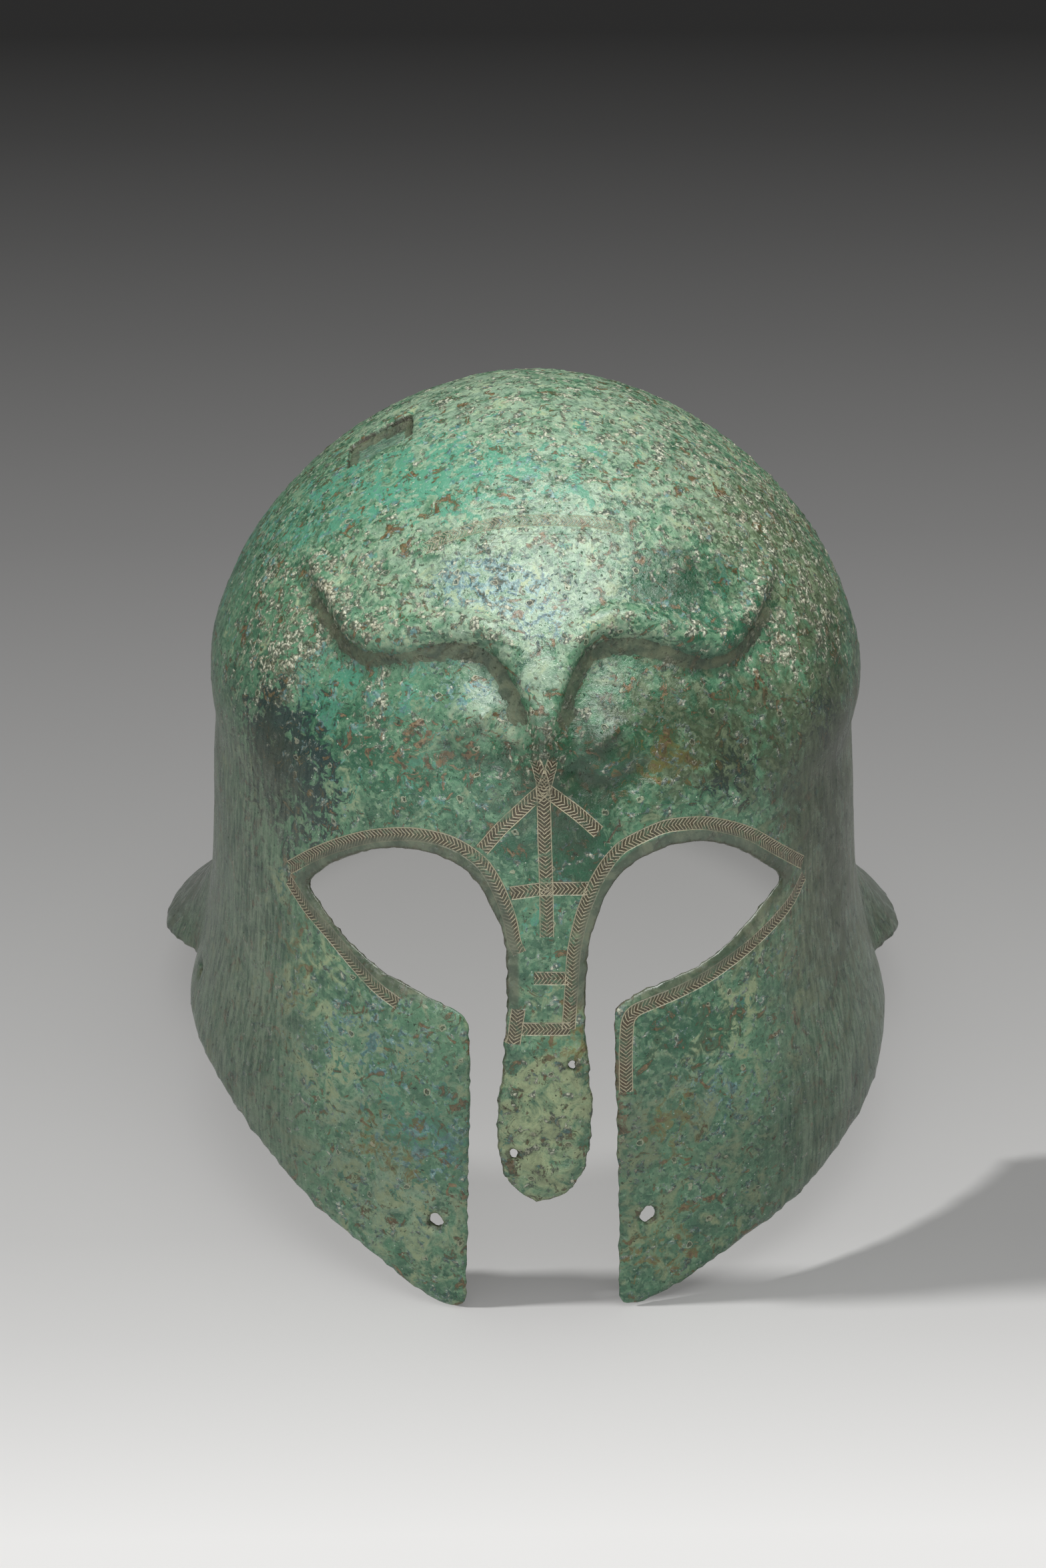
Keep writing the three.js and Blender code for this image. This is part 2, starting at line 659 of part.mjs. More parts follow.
// Gives the sheet its thickness: an outer and an inner face, joined along every open edge.
function thickened(sheet) {
  const used = [...new Set(sheet.faces.flat())];
  const number = new Map(used.map((id, i) => [id, i]));
  const vertices = used.map((id) => sheet.vertices[id]);
  const faces = sheet.faces.map((face) => face.map((id) => number.get(id)));
  const edges = openEdges(faces);
  const outward = vertices.map(({ azimuth, station }) => outwardOf(azimuth, station));
  const outer = vertices.map(({ azimuth, station, sunk }, i) =>
    outerPoint(azimuth, station).addScaledVector(outward[i], -sunk),
  );
  const rim = [...new Set(edges.flat())].map((i) => outer[i]);
  const inner = outer.map((point, i) => {
    const toEdge = Math.min(...rim.map((edgePoint) => edgePoint.distanceTo(point)));
    const wall = lerp(EDGE_WALL, WALL, smoothstep(toEdge, 0, EDGE_WALL_WIDTH));
    return point.clone().addScaledVector(outward[i], -wall);
  });
  const count = outer.length;
  const quads = faces
    .concat(faces.map((face) => face.map((i) => i + count).reverse()))
    .concat(edges.map(([from, to]) => [to, from, from + count, to + count]));
  return { points: outer.concat(inner), quads };
}

// Tips the helmet back about the X axis until the cheek tips and the back of the neck guard are
// level, and wears the lowest parts of the edge flat where it rests.
function settled(points) {
  const backLevel = lowerEdgeAt(180).right;
  const backReach = radiusAt(BACK, stationOf(backLevel));
  const tipReach = radiusAt(radians(13), stationOf(0)) * Math.cos(radians(13));
  const tilt = Math.atan2(backLevel, backReach + tipReach);
  points.forEach((point) => point.applyAxisAngle(new THREE.Vector3(1, 0, 0), -tilt));
  const lift = tipReach * Math.sin(tilt);
  points.forEach((point) => {
    point.z -= lift;
    if (point.z < FOOT_HEIGHT) point.z = 0;
  });
  return points;
}

// Each quad is cut along its shorter diagonal.
function shellGeometry({ points, quads }) {
  const triangles = quads.flatMap(([a, b, c, d]) => {
    const alongFirst = points[a].distanceTo(points[c]) < points[b].distanceTo(points[d]);
    return alongFirst ? [a, b, c, a, c, d] : [a, b, d, b, c, d];
  });
  const geometry = new THREE.BufferGeometry().setFromPoints(points);
  geometry.setIndex(triangles);
  geometry.computeBoundingBox();
  const middle = geometry.boundingBox.getCenter(new THREE.Vector3());
  geometry.translate(-middle.x, -middle.y, 0);
  geometry.computeVertexNormals();
  return geometry;
}

function helmetShell() {
  const sheet = new Sheet();
  addCap(sheet);
  Object.keys(SIDES).forEach((side) => {
    const creaseAzimuths = addHalfWall(sheet, side);
    addHalfBowl(sheet, side, creaseAzimuths);
  });
  sinkRepair(sheet);
  HOLES.forEach((hole) => pierce(sheet, hole));
  const { points, quads } = thickened(sheet);
  return shellGeometry({ points: settled(points), quads });
}

const bronze = new THREE.MeshStandardMaterial({ color: 0x5f8f78, roughness: 0.6, metalness: 0.1 });
const shell = new THREE.Mesh(helmetShell(), bronze);
shell.name = 'helmet_shell';

const helmet = new THREE.Group();
helmet.add(shell);

export default helmet;
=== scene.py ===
import math
from contextlib import contextmanager
from types import SimpleNamespace

import bpy
import numpy as np
from mathutils import Matrix, Vector
from mathutils.bvhtree import BVHTree
from mathutils.kdtree import KDTree


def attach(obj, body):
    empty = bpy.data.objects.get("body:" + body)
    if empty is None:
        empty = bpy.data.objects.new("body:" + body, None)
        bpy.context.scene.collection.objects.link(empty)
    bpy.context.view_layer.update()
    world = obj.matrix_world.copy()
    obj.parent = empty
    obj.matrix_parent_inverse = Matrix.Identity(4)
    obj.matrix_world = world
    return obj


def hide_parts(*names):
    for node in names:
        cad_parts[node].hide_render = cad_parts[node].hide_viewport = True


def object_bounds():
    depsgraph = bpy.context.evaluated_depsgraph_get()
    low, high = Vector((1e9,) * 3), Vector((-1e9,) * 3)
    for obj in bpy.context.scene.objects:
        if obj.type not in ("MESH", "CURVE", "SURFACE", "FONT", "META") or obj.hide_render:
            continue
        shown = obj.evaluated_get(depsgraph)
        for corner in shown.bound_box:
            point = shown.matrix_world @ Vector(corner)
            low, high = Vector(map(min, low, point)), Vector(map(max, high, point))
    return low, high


bl_info = {
    "name": "Corinthian Helmet",
    "version": (1, 0, 0),
    "blender": (4, 5, 0),
    "location": "View3D > Sidebar > Helmet",
    "description": "Finishes the bronze shell of a Corinthian helmet and sets it in a studio",
    "category": "Object",
}

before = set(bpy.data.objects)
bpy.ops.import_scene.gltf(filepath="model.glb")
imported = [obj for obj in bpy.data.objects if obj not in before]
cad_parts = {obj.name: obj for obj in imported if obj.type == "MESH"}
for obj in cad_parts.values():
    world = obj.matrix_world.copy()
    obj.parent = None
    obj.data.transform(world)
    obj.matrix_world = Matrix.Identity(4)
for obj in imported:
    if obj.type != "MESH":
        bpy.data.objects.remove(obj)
CAD_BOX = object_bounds()

MM = 0.001

# The helmet is described as it is worn: millimetres, the face towards -Y, levels above the cheek
# tips. At rest it is tipped back and moved by this much.
TIPPED = math.radians(11.556)
WORN_ORIGIN = Vector((-1.002, -21.817, -22.477))
WORN = Matrix.Translation(WORN_ORIGIN) @ Matrix.Rotation(-TIPPED, 4, "X")

# Engraved borders, each as [across, level] seen from the front. Borders that meet or cross are on
# different layers.
BORDERS = {
    "border_a": [
        # over each eye and down the nose
        [[-73.4, 128], [-65.9, 135.7], [-56.7, 142.6], [-47.6, 147.3], [-38.6, 149.7], [-31.5, 149.9],
         [-25.3, 148.6], [-18.6, 144.6], [-14.7, 139.6], [-12, 133.9], [-9.8, 127.4], [-8.5, 120.5],
         [-7, 117]],
        [[77.4, 125.8], [68.5, 135.1], [61, 142.2], [53.8, 147], [46.7, 150.3], [39.7, 151.7],
         [32.9, 151.6], [23.8, 148.4], [20, 145.4], [17, 141.6], [14.1, 136.4], [11.4, 129.8],
         [9.6, 123], [8.4, 116], [7.8, 106], [7, 93.5]],
        # across the forehead
        [[-33.3, 221.7], [-27.2, 224.8], [-20.9, 226.8], [-14.1, 228.5], [-8.5, 229.3], [-2.2, 229.7],
         [6.1, 229.6], [15.4, 228.7], [24.2, 226.4]],
        # from the root of the nose to the right eye
        [[0.2, 166], [4.8, 162], [10.3, 157.6], [15.6, 152.6]],
        # what is left of a border low on the nose
        [[-7.4, 100], [-8.8, 89]],
    ],
    "border_b": [
        # under each eye, the right one going on down the front of the cheek
        [[-73.6, 124.4], [-68.5, 118.9], [-61.6, 113.2], [-54.9, 106.9], [-48.1, 101.2], [-42, 97.6]],
        [[78, 121.4], [73.8, 116.4], [66.3, 111.6], [59, 108.1], [49.5, 104], [40.1, 101.2],
         [32, 99.4], [26.4, 97.6], [24.4, 95.2], [23.9, 91], [23.7, 84], [23.9, 72]],
        # from the left brow down the middle of the nose
        [[-2.6, 174.5], [-1.3, 170.4], [-0.3, 166.4], [0, 160], [0.2, 150], [0.5, 141], [0.7, 131],
         [0.8, 122]],
    ],
    "border_c": [
        # from the right brow to the left eye
        [[2.8, 174.5], [1.5, 170.6], [-0.3, 166], [-5.2, 160.8], [-11.9, 154.4], [-17.6, 147.6]],
        # bars across the nose
        [[-9.6, 135.2], [-3.1, 136.2], [1.4, 136.6], [12.6, 136.2]],
        [[-3, 109.6], [7.2, 109.4]],
        [[-6.5, 93.9], [7.6, 93.7]],
    ],
}

# Engraved borders in millimetres: how far from its route what is stored reaches, the steps along a
# route, half a border's width, and its strokes. Where no border is near, NO_BORDER is stored: along,
# across, and room to the nearer end.
BORDER_REACH = 7.0
ROUTE_STEP = 0.7
BORDER_HALF = 1.9
STROKES_PER_MM = 0.86
STROKE_SLANT = 0.72
NO_BORDER = [0.0, 99.0, -1.0]

# The middle of an eye on the worn helmet, towards which the undercut of its brow is flatter.
EYE_ACROSS = 38
EYE_LEVEL = 150
UNDERCUT_FLATTER = 1.9

# The sunken repair seen from above: its corners as [x, y] of the worn helmet, how deep its plate and
# the groove round it are, the level that it is above, and the farthest distance stored.
REPAIR_CORNERS = [[-55, -13.5], [-37, -15], [-37, 1], [-54.5, 3]]
REPAIR_DEEP = 1.3
REPAIR_GROOVE = 1.2
REPAIR_LOWEST = 200
REPAIR_FAR = 10

# How fast a patch of a finish fades from its middle.
PATCH_FALLOFF = 0.7

# The line up through the head, which the inside of the wall faces: how far it is along Y, and the
# levels that it is between, in millimetres.
HEAD_Y = -5
HEAD_LEVELS = (60, 170)

# Levels on the worn helmet in millimetres where the bowl takes over from the wall, and where a
# cheek's ragged edge gives way to the eye's smooth one.
BOWL_STARTS = 150
BOWL_FULL = 170
RAGGED_BELOW = 110
SMOOTH_ABOVE = 130

# The copied wall: vertices closer than MERGED are joined, an edge sharper than SHARP is on a rim,
# and distances are taken to points that are RIM_STEP apart along the rims, in millimetres.
MERGED = 0.02
SHARP = math.radians(55)
RIM_STEP = 0.5

# How coarse the dents, the crust and the chipped edges are, in millimetres.
DENT_SIZE = 22
CRUST_SIZE = 2.4
CHIP_SIZE = 2.6

# Widths along the edges, in millimetres: as far as they are chipped, as far as the eye's lip goes,
# and as far as the distance to the edge is stored.
CHIPPED_WIDTH = 2.6
LIP_WIDTH = 4.4
RIM_REACH = 20

# Where the eyes' lips end: their lowest and highest levels, and how far across they go.
LIP_LOW = 100
LIP_HIGH = 157
LIP_ACROSS = 82

# The front of the helmet that casts the long shadow, in metres: how far back it goes on either
# side, how high, and how far within the wall it lies.
SHADOW_LEFT = -0.113
SHADOW_RIGHT = -0.06
SHADOW_TOP = 0.11
SHADOW_INSIDE = 0.0005

# Hollow lines of the relief, the deep undercut of the brows first.
HOLLOWS = {
    "columns": ("deep", "wide", "route as [across, level]"),
    "rows": [
        (2.0, 2.6, [[-70, 209], [-67.2, 206.5], [-63.5, 203], [-60, 199.2], [-56, 196], [-50, 195.2],
                    [-44, 196.4], [-35.5, 198.4], [-28, 200], [-21, 200.4], [-15.5, 198.6],
                    [-11.5, 194], [-8, 187], [-6, 180]]),
        (2.0, 2.6, [[71, 205], [67.5, 201.5], [63, 197.2], [57, 193.6], [50, 193], [44, 194.6], [38, 197],
                    [29, 200.6], [20, 201.4], [13.5, 199], [9.5, 193], [7, 186], [5.5, 179]]),
        (1.4, 2.4, [[-29.5, 178], [-25.4, 173.6], [-18.6, 171.6], [-12, 173], [-8, 177]]),
        (1.6, 2.6, [[7, 171.6], [11.2, 167.6], [18, 165.4], [25, 167], [30, 171.6]]),
        (0.35, 0.7, [[-9, 209], [-4, 205], [1, 202.4], [6, 204], [12, 208.5]]),
        (0.3, 0.6, [[17, 212], [24, 214.6], [36, 214.2], [50, 210]]),
    ],
}

# Rounded rises of the relief: brows, bosses and keel, then lumps of crust.
RISES = {
    "columns": ("high", "wide", "route as [across, level]"),
    "rows": [
        (1.6, 3.4, [[-68, 213], [-63, 209.5], [-58, 205], [-53, 202.4], [-47, 202.6], [-38, 205],
                    [-29, 207.4], [-20, 208.2], [-11.5, 205.6], [-5, 199.5]]),
        (1.6, 3.4, [[70, 210.5], [65, 206.6], [59, 202], [52, 200.6], [46, 201.8], [38, 205], [29, 208],
                    [20, 209.2], [12, 206.4], [5.5, 200]]),
        (3.0, 6.6, [[-19.5, 185.5], [-17.5, 182.5]]),
        (3.0, 7.4, [[17, 180.5], [19, 177.5]]),
        (0.7, 2.6, [[-0.4, 188], [-0.2, 176], [0, 168]]),
        (0.9, 1.5, [[-5, 60], [-5.5, 53], [-1, 48], [5, 47.5], [9, 51], [9, 58], [5, 62]]),
        (1.0, 2.2, [[4.5, 84], [8, 86], [10.5, 83], [9.5, 78]]),
        (0.9, 2.0, [[-10.5, 76], [-9, 72], [-11, 68]]),
        (0.8, 1.8, [[-12, 88], [-7, 86.5], [-2, 88]]),
        (0.5, 1.2, [[-52, 60], [-46, 66], [-40, 63], [-38, 56]]),
        (0.5, 1.2, [[33, 62], [38, 66], [43, 62], [41, 55]]),
        (0.6, 1.4, [[26, 167], [34, 163], [42, 166], [52, 162]]),
        (0.6, 1.6, [[60, 186], [68, 189], [76, 186], [84, 188]]),
    ],
}

# Where each finish lies thickest, and where shade is painted under dark, by the side that it is seen from.
# Each
# row has the columns (across, level, wide, tall, amount): its place on the worn helmet and its reach, in
# millimetres, and its amount.
PATCHES = {
    "crust": {
        "front": [(-74, 189, 17, 13, 1.0), (-50, 184, 10, 7, 0.9), (-79, 199, 10, 8, 0.7),
            (68, 193, 13, 9, 0.8), (62, 225, 34, 20, 0.5), (-10, 243, 60, 12, 0.5),
            (84, 190, 10, 10, 0.9), (0, 62, 13, 22, 0.3), (-2, 178, 9, 12, 0.8)],
        "left": [(-60, 205, 50, 26, 0.6)],
        "right": [(-20, 205, 60, 24, 0.6)],
        "back": [(10, 205, 60, 30, 0.7), (-40, 120, 40, 24, 0.5)],
    },
    "turquoise": {
        "front": [(-65, 219, 20, 12, 0.8), (-46, 231, 24, 10, 1.0), (-24, 238, 22, 10, 0.9),
            (6, 238, 26, 8, 0.7), (-57, 186, 8, 7, 1.0), (-66, 177, 12, 8, 0.9),
            (-36, 190, 22, 10, 0.7), (-40, 167, 26, 10, 0.5), (-34, 56, 16, 14, 1.0),
            (-52, 74, 20, 12, 0.5), (0, 124, 9, 15, 0.7), (55, 209, 24, 8, 0.5)],
        "left": [(10, 195, 40, 22, 0.6)],
        "back": [(-30, 190, 40, 18, 0.7), (45, 90, 40, 20, 0.5)],
    },
    "emerald": {
        "front": [(9, 149, 11, 14, 1.0), (-9, 149, 9, 12, 0.6), (14, 170, 16, 8, 0.8),
            (-66, 172, 12, 10, 0.9), (44, 88, 22, 13, 0.7), (38, 213, 18, 8, 0.8),
            (58, 200, 22, 7, 0.6), (-28, 166, 30, 12, 0.6), (-50, 176, 16, 12, 0.5),
            (34, 182, 30, 12, 0.4)],
        "right": [(-20, 175, 50, 18, 0.5)],
    },
    "navy": {
        "front": [(-77, 166, 12, 12, 1.0), (-69, 160, 9, 12, 0.8), (54, 162, 12, 10, 0.5),
            (84, 165, 12, 9, 0.5)],
        "left": [(-72, 150, 22, 22, 0.6)],
        "back": [(60, 165, 24, 14, 0.6)],
    },
    "pale": {
        "front": [(-10, 211, 34, 12, 0.9), (-34, 226, 40, 14, 0.7), (-6, 245, 70, 12, 0.9),
            (40, 234, 34, 13, 0.7), (-18, 187, 9, 7, 0.8), (0, 192, 9, 14, 0.6), (0, 56, 14, 22, 0.8),
            (-84, 112, 12, 40, 0.5), (-60, 64, 26, 26, 0.55), (-40, 38, 18, 20, 0.75),
            (46, 72, 20, 20, 0.45)],
        "back": [(0, 220, 60, 24, 0.6)],
        "left": [(0, 90, 60, 26, 0.3)],
    },
    "olive": {
        "front": [(62, 220, 30, 22, 0.9), (86, 194, 14, 24, 1.0), (46, 170, 30, 12, 0.8),
            (84, 140, 18, 50, 1.0), (30, 186, 20, 12, 0.5), (62, 112, 20, 14, 0.7),
            (5, 66, 10, 24, 0.5)],
        "right": [(0, 120, 70, 50, 0.8)],
        "back": [(20, 140, 60, 40, 0.5)],
    },
    "rust": {
        "front": [(-36, 172, 26, 13, 0.8), (-15, 183, 4, 4, 1.0), (1, 171, 9, 8, 0.8),
            (40, 187, 22, 12, 0.6), (66, 178, 16, 10, 0.6), (-25, 45, 3.5, 9, 1.0),
            (22, 72, 4, 26, 1.0), (72, 114, 14, 12, 0.6), (78, 140, 10, 14, 0.5), (-78, 92, 7, 14, 0.5),
            (76, 84, 9, 14, 0.6)],
        "back": [(20, 90, 50, 24, 0.6)],
    },
    "ochre": {
        "front": [(38, 60, 8, 9, 0.9), (34, 18, 10, 10, 0.6), (-45, 50, 12, 9, 0.7),
            (-72, 95, 7, 16, 0.6), (8, 88, 5, 12, 0.7), (34, 170, 14, 6, 0.6)],
    },
    "blue": {
        "front": [(-21, 216, 10, 6, 1.0), (-7, 216, 9, 5, 0.9), (1, 209, 8, 5, 0.7),
            (-22, 190, 8, 5, 0.6), (-50, 84, 18, 9, 0.5), (-31, 52, 9, 8, 0.6), (54, 66, 9, 8, 0.45)],
        "back": [(-10, 160, 30, 16, 0.6)],
    },
    "lime": {
        "front": [(0, 60, 15, 26, 1.0), (-36, 30, 18, 18, 0.4), (-62, 72, 14, 16, 0.4),
            (-66, 100, 14, 10, 0.4), (54, 84, 22, 16, 0.4), (40, 30, 14, 16, 0.4)],
    },
    # Painted shade: these patches darken the recesses under the brows and between the bosses, the right
    # side and the low rear, where shade falls.
    "dark": {
        "front": [(3, 163, 17, 13, 0.7), (1, 177, 5, 10, 0.9), (18, 180, 12, 12, 0.5),
            (-40, 176, 34, 14, 0.3), (44, 182, 34, 10, 0.4), (9, 148, 9, 14, 0.6),
            (54, 168, 24, 15, 0.8), (74, 148, 14, 20, 0.7), (-78, 163, 12, 18, 0.7),
            (88, 140, 18, 60, 0.8), (44, 214, 16, 9, 0.7), (50, 110, 26, 8, 0.6)],
        "left": [(70, 60, 50, 40, 0.8)],
        "right": [(60, 60, 50, 40, 0.8)],
        "back": [(0, 50, 110, 40, 0.6)],
    },
}

# Height of the fine relief that is bump alone, in millimetres.
BUMP_HEIGHT = 0.8

# The paper's tone, from near to far behind, with painted shade that deepens further back: display grey at
# each place along Y, in metres.
PAPER = {
    "columns": ("y", "grey"),
    "rows": [
        (-0.228, 227), (-0.187, 214), (-0.143, 199), (-0.097, 186), (-0.048, 178), (0.004, 168),
        (0.058, 159), (0.116, 149), (0.177, 139), (0.242, 128), (0.311, 115), (0.386, 103),
        (0.465, 90), (0.550, 76), (0.641, 60), (0.740, 42),
    ],
}

# The middle of the helmet, at which the camera and the soft boxes point, and the soft boxes' places
# and sides, in metres.
MIDDLE = Vector((-0.004, 0.0025, 0.0965))
SOFT_BOXES = {
    "columns": ("name", "power setting", "place", "size"),
    "rows": [
        ("overhead_box", "overhead", (0.12, 0.0, 1.25), 0.7),
        ("left_box", "side", (-1.3, -0.5, 0.7), 0.5),
        ("front_box", "front", (-0.45, -1.5, 0.85), 1.0),
    ],
}

# The light that casts the long shadow: how far it is tilted to the left and turned behind, and how
# soft it is, as is the light from above.
KEY_TILT = math.radians(62)
KEY_TURN = math.radians(2)
KEY_SOFT = math.radians(5)
TOP_SOFT = math.radians(50)

# The light on the floor inside the helmet: its place and half its circle's width, in metres, and how
# much of the circle is its soft edge.
INSIDE_PLACE = (0, 0.03, 1.2)
INSIDE_WIDE = 0.105
INSIDE_EDGE = 0.35


def select_only(item):
    """Leaves one object selected and active."""
    bpy.ops.object.select_all(action="DESELECT")
    item.select_set(True)
    bpy.context.view_layer.objects.active = item


@contextmanager
def edit_mode(select=None, kind="VERT"):
    """Edit mode, where vertices or edges are all selected or deselected first."""
    bpy.ops.object.mode_set(mode="EDIT")
    bpy.ops.mesh.select_mode(type=kind)
    if select:
        bpy.ops.mesh.select_all(action=select)
    yield
    bpy.ops.object.mode_set(mode="OBJECT")


def coordinates(mesh):
    """The mesh's vertices, and their normals, as arrays."""
    places = np.zeros(len(mesh.vertices) * 3, np.float32)
    mesh.vertices.foreach_get("co", places)
    normals = np.zeros(len(mesh.vertices) * 3, np.float32)
    mesh.vertex_normals.foreach_get("vector", normals)
    return places.reshape(-1, 3).astype(float), normals.reshape(-1, 3).astype(float)


def as_worn(places):
    """Rest places in metres, as places of the worn helmet in millimetres."""
    inverse = np.array(WORN.inverted())
    return places / MM @ inverse[:3, :3].T + inverse[:3, 3]


def worn_direction(normals):
    """Directions at rest, as directions of the worn helmet."""
    return normals @ np.array(WORN.to_3x3().inverted()).T


def smoothstep(values, start, end):
    """0 before start and 1 after end, with a smooth turn between."""
    share = np.clip((values - start) / (end - start), 0, 1)
    return share * share * (3 - 2 * share)


def put_attribute(mesh, name, kind, values):
    """Stores an array on the mesh's vertices."""
    attribute = mesh.attributes.new(name, kind, "POINT")
    key = "vector" if kind == "FLOAT_VECTOR" else "value"
    attribute.data.foreach_set(key, np.ascontiguousarray(values, np.float32).ravel())


def smooth_line(points, step=ROUTE_STEP):
    """A Catmull-Rom line through flat points, in even short steps."""
    points = np.array(points, float)
    ends = np.vstack([2 * points[0] - points[1], points, 2 * points[-1] - points[-2]])
    line = []
    for a, b, c, d in zip(ends, ends[1:], ends[2:], ends[3:]):
        for t in np.linspace(0, 1, max(2, int(np.linalg.norm(c - b) / step)), endpoint=False):
            square = (2 * a - 5 * b + 4 * c - d) * t**2
            cube = (3 * b - a - 3 * c + d) * t**3
            line.append(0.5 * (2 * b + (c - a) * t + square + cube))
    line.append(points[-1])
    return np.array(line)


# From each side: where a ray starts, where it goes, and which axis a place across is on.
SIDES = {
    "front": (Vector((0, -300, 0)), Vector((0, 1, 0)), 0),
    "back": (Vector((0, 300, 0)), Vector((0, -1, 0)), 0),
    "left": (Vector((-300, 0, 0)), Vector((1, 0, 0)), 1),
    "right": (Vector((300, 0, 0)), Vector((-1, 0, 0)), 1),
}


def on_shell(tree, side, across, level):
    """The first place of the shell that is met from one side, or None beside it."""
    start, direction, axis = SIDES[side]
    start = start.copy()
    start[axis] = across
    start.z = level
    return tree.ray_cast(start, direction)[0]


def laid_on_shell(places, tree, route, reach):
    """A route on the shell's front, the vertices near it, and the nearest step and gap of each."""
    hits = [on_shell(tree, "front", across, level) for across, level in smooth_line(route)]
    line = np.array([hit for hit in hits if hit is not None])
    near = np.where(((places > line.min(0) - reach) & (places < line.max(0) + reach)).all(1))[0]
    gaps = np.linalg.norm(places[near, None] - line[None], axis=2)
    return line, near, gaps.argmin(1), gaps.min(1)


def border_layer(places, normals, tree, routes):
    """Along, across and room to the nearer end, for every vertex near a border of one layer."""
    nearest = np.full(len(places), np.inf)
    layer = np.tile(NO_BORDER, (len(places), 1))
    for route in routes:
        line, near, place, gap = laid_on_shell(places, tree, route, BORDER_REACH)
        lengths = np.concatenate([[0], np.cumsum(np.linalg.norm(np.diff(line, axis=0), axis=1))])
        tangents = np.gradient(line, lengths, axis=0)
        tangents /= np.linalg.norm(tangents, axis=1)[:, None]
        closer = (gap < BORDER_REACH) & (gap < nearest[near])
        near, place, gap = near[closer], place[closer], gap[closer]
        offset = places[near] - line[place]
        tangent = tangents[place]
        side = np.cross(normals[near], tangent)
        along = lengths[place] + (offset * tangent).sum(1)
        layer[near, 0] = along
        layer[near, 1] = (offset * side).sum(1)
        layer[near, 2] = np.minimum(along, lengths[-1] - along)
        nearest[near] = gap
    return layer


def repair_distance(places):
    """How far inside the repair's outline each vertex is, in millimetres, less than 0 outside it."""
    corners = np.array(REPAIR_CORNERS, float)
    inside = np.full(len(places), float(REPAIR_FAR))
    for start, end in zip(corners, np.roll(corners, -1, axis=0)):
        edge = (end - start) / np.linalg.norm(end - start)
        offset = places[:, :2] - start
        inside = np.minimum(inside, edge[0] * offset[:, 1] - edge[1] * offset[:, 0])
    return np.where(places[:, 2] > REPAIR_LOWEST, np.clip(inside, -REPAIR_FAR, REPAIR_FAR), -REPAIR_FAR)


def route_amounts(places, tree, rows, flatter=1.0):
    """How much each vertex is moved along the routes of a relief table, in millimetres.

    Towards the eye below it a route's slope is made flatter.
    """
    moved = np.zeros(len(places))
    for size, wide, route in rows:
        line, near, place, gap = laid_on_shell(places, tree, route, 3 * wide)
        nearest = line[place]
        eye = np.array([math.copysign(EYE_ACROSS, line[:, 0].mean()), nearest[:, 1].mean(), EYE_LEVEL])
        below = ((places[near] - nearest) * (eye - nearest)).sum(1) > 0
        gap = np.where(below, gap / flatter, gap)
        share = place / max(1, len(line) - 1)
        ends = smoothstep(np.minimum(share, 1 - share), -0.02, 0.08)
        moved[near] = np.maximum(moved[near], size * ends * np.exp(-((gap / wide) ** 2)))
    return moved


def patch_amounts(places, tree):
    """How much of each finish, and of the painted shade, lies at every vertex, from 0 to 1."""
    amounts = {finish: np.zeros(len(places)) for finish in PATCHES}
    for finish, sides in PATCHES.items():
        rows = [(side, *row) for side in sides for row in sides[side]]
        for side, across, level, wide, tall, amount in rows:
            centre = on_shell(tree, side, across, level)
            if centre is None:
                raise RuntimeError(f"the patch of {finish} at {across}, {level} is beside the shell")
            offset = (places - np.array(centre)) / (wide, wide, tall)
            falloff = amount * np.exp(-PATCH_FALLOFF * (offset**2).sum(1))
            amounts[finish] = 1 - (1 - amounts[finish]) * (1 - falloff)
    return amounts


def copied(source, name):
    """A copy of an object, with its own mesh and without the properties whose names start with rig_."""
    select_only(source)
    bpy.ops.object.duplicate()
    copy = bpy.context.view_layer.objects.active
    copy.name = name
    copy.data.name = name
    for key in [key for key in copy.keys() if key.startswith("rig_")]:
        del copy[key]
    return copy


def merged_copy(node, name):
    """A copy of a CAD node's mesh with its vertices joined and its triangles paired."""
    piece = copied(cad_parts[node], name)
    piece.data.materials.clear()
    piece.parent = None
    with edit_mode("SELECT"):
        bpy.ops.mesh.remove_doubles(threshold=MERGED * MM)
        bpy.ops.mesh.tris_convert_to_quads(face_threshold=math.pi, shape_threshold=math.pi)
    return piece


def rim_points(piece):
    """Places in even short steps along the wall's rims."""
    with edit_mode("DESELECT", kind="EDGE"):
        bpy.ops.mesh.edges_select_sharp(sharpness=SHARP)
    mesh = piece.data
    points = []
    for edge in mesh.edges:
        if edge.select:
            start, end = (mesh.vertices[i].co for i in edge.vertices)
            count = max(1, int((end - start).length / (RIM_STEP * MM)))
            points.extend(start.lerp(end, i / count) for i in range(count + 1))
    return np.array(points)


def distance_to(points, places, reach):
    """Distance from each place to the nearest of the points, at most reach."""
    tree = KDTree(len(points))
    for i, point in enumerate(points):
        tree.insert(point, i)
    tree.balance()
    return np.array([min(tree.find(place)[2], reach) for place in places])


def apply_modifiers(piece):
    """Applies every modifier, in order."""
    select_only(piece)
    for modifier in list(piece.modifiers):
        bpy.ops.object.modifier_apply(modifier=modifier.name)


def weigh(piece, name, weights):
    """Stores weights from 0 to 1 in a vertex group."""
    group = piece.vertex_groups.new(name=name)
    for index in np.nonzero(weights > 0.01)[0]:
        group.add([int(index)], float(weights[index]), "REPLACE")


def raise_by_amount(piece, name, amounts):
    """Moves every vertex out by its own amount, in millimetres, or in where it is below 0."""
    for sign, side in ((1, "out"), (-1, "in")):
        share = np.clip(amounts * sign, 0, None)
        most = share.max()
        if most < 0.01:
            continue
        weigh(piece, name + side, share / most)
        modifier = piece.modifiers.new(name + side, "DISPLACE")
        modifier.vertex_group = name + side
        modifier.mid_level = 0
        modifier.strength = sign * most * MM
        apply_modifiers(piece)
        piece.vertex_groups.clear()


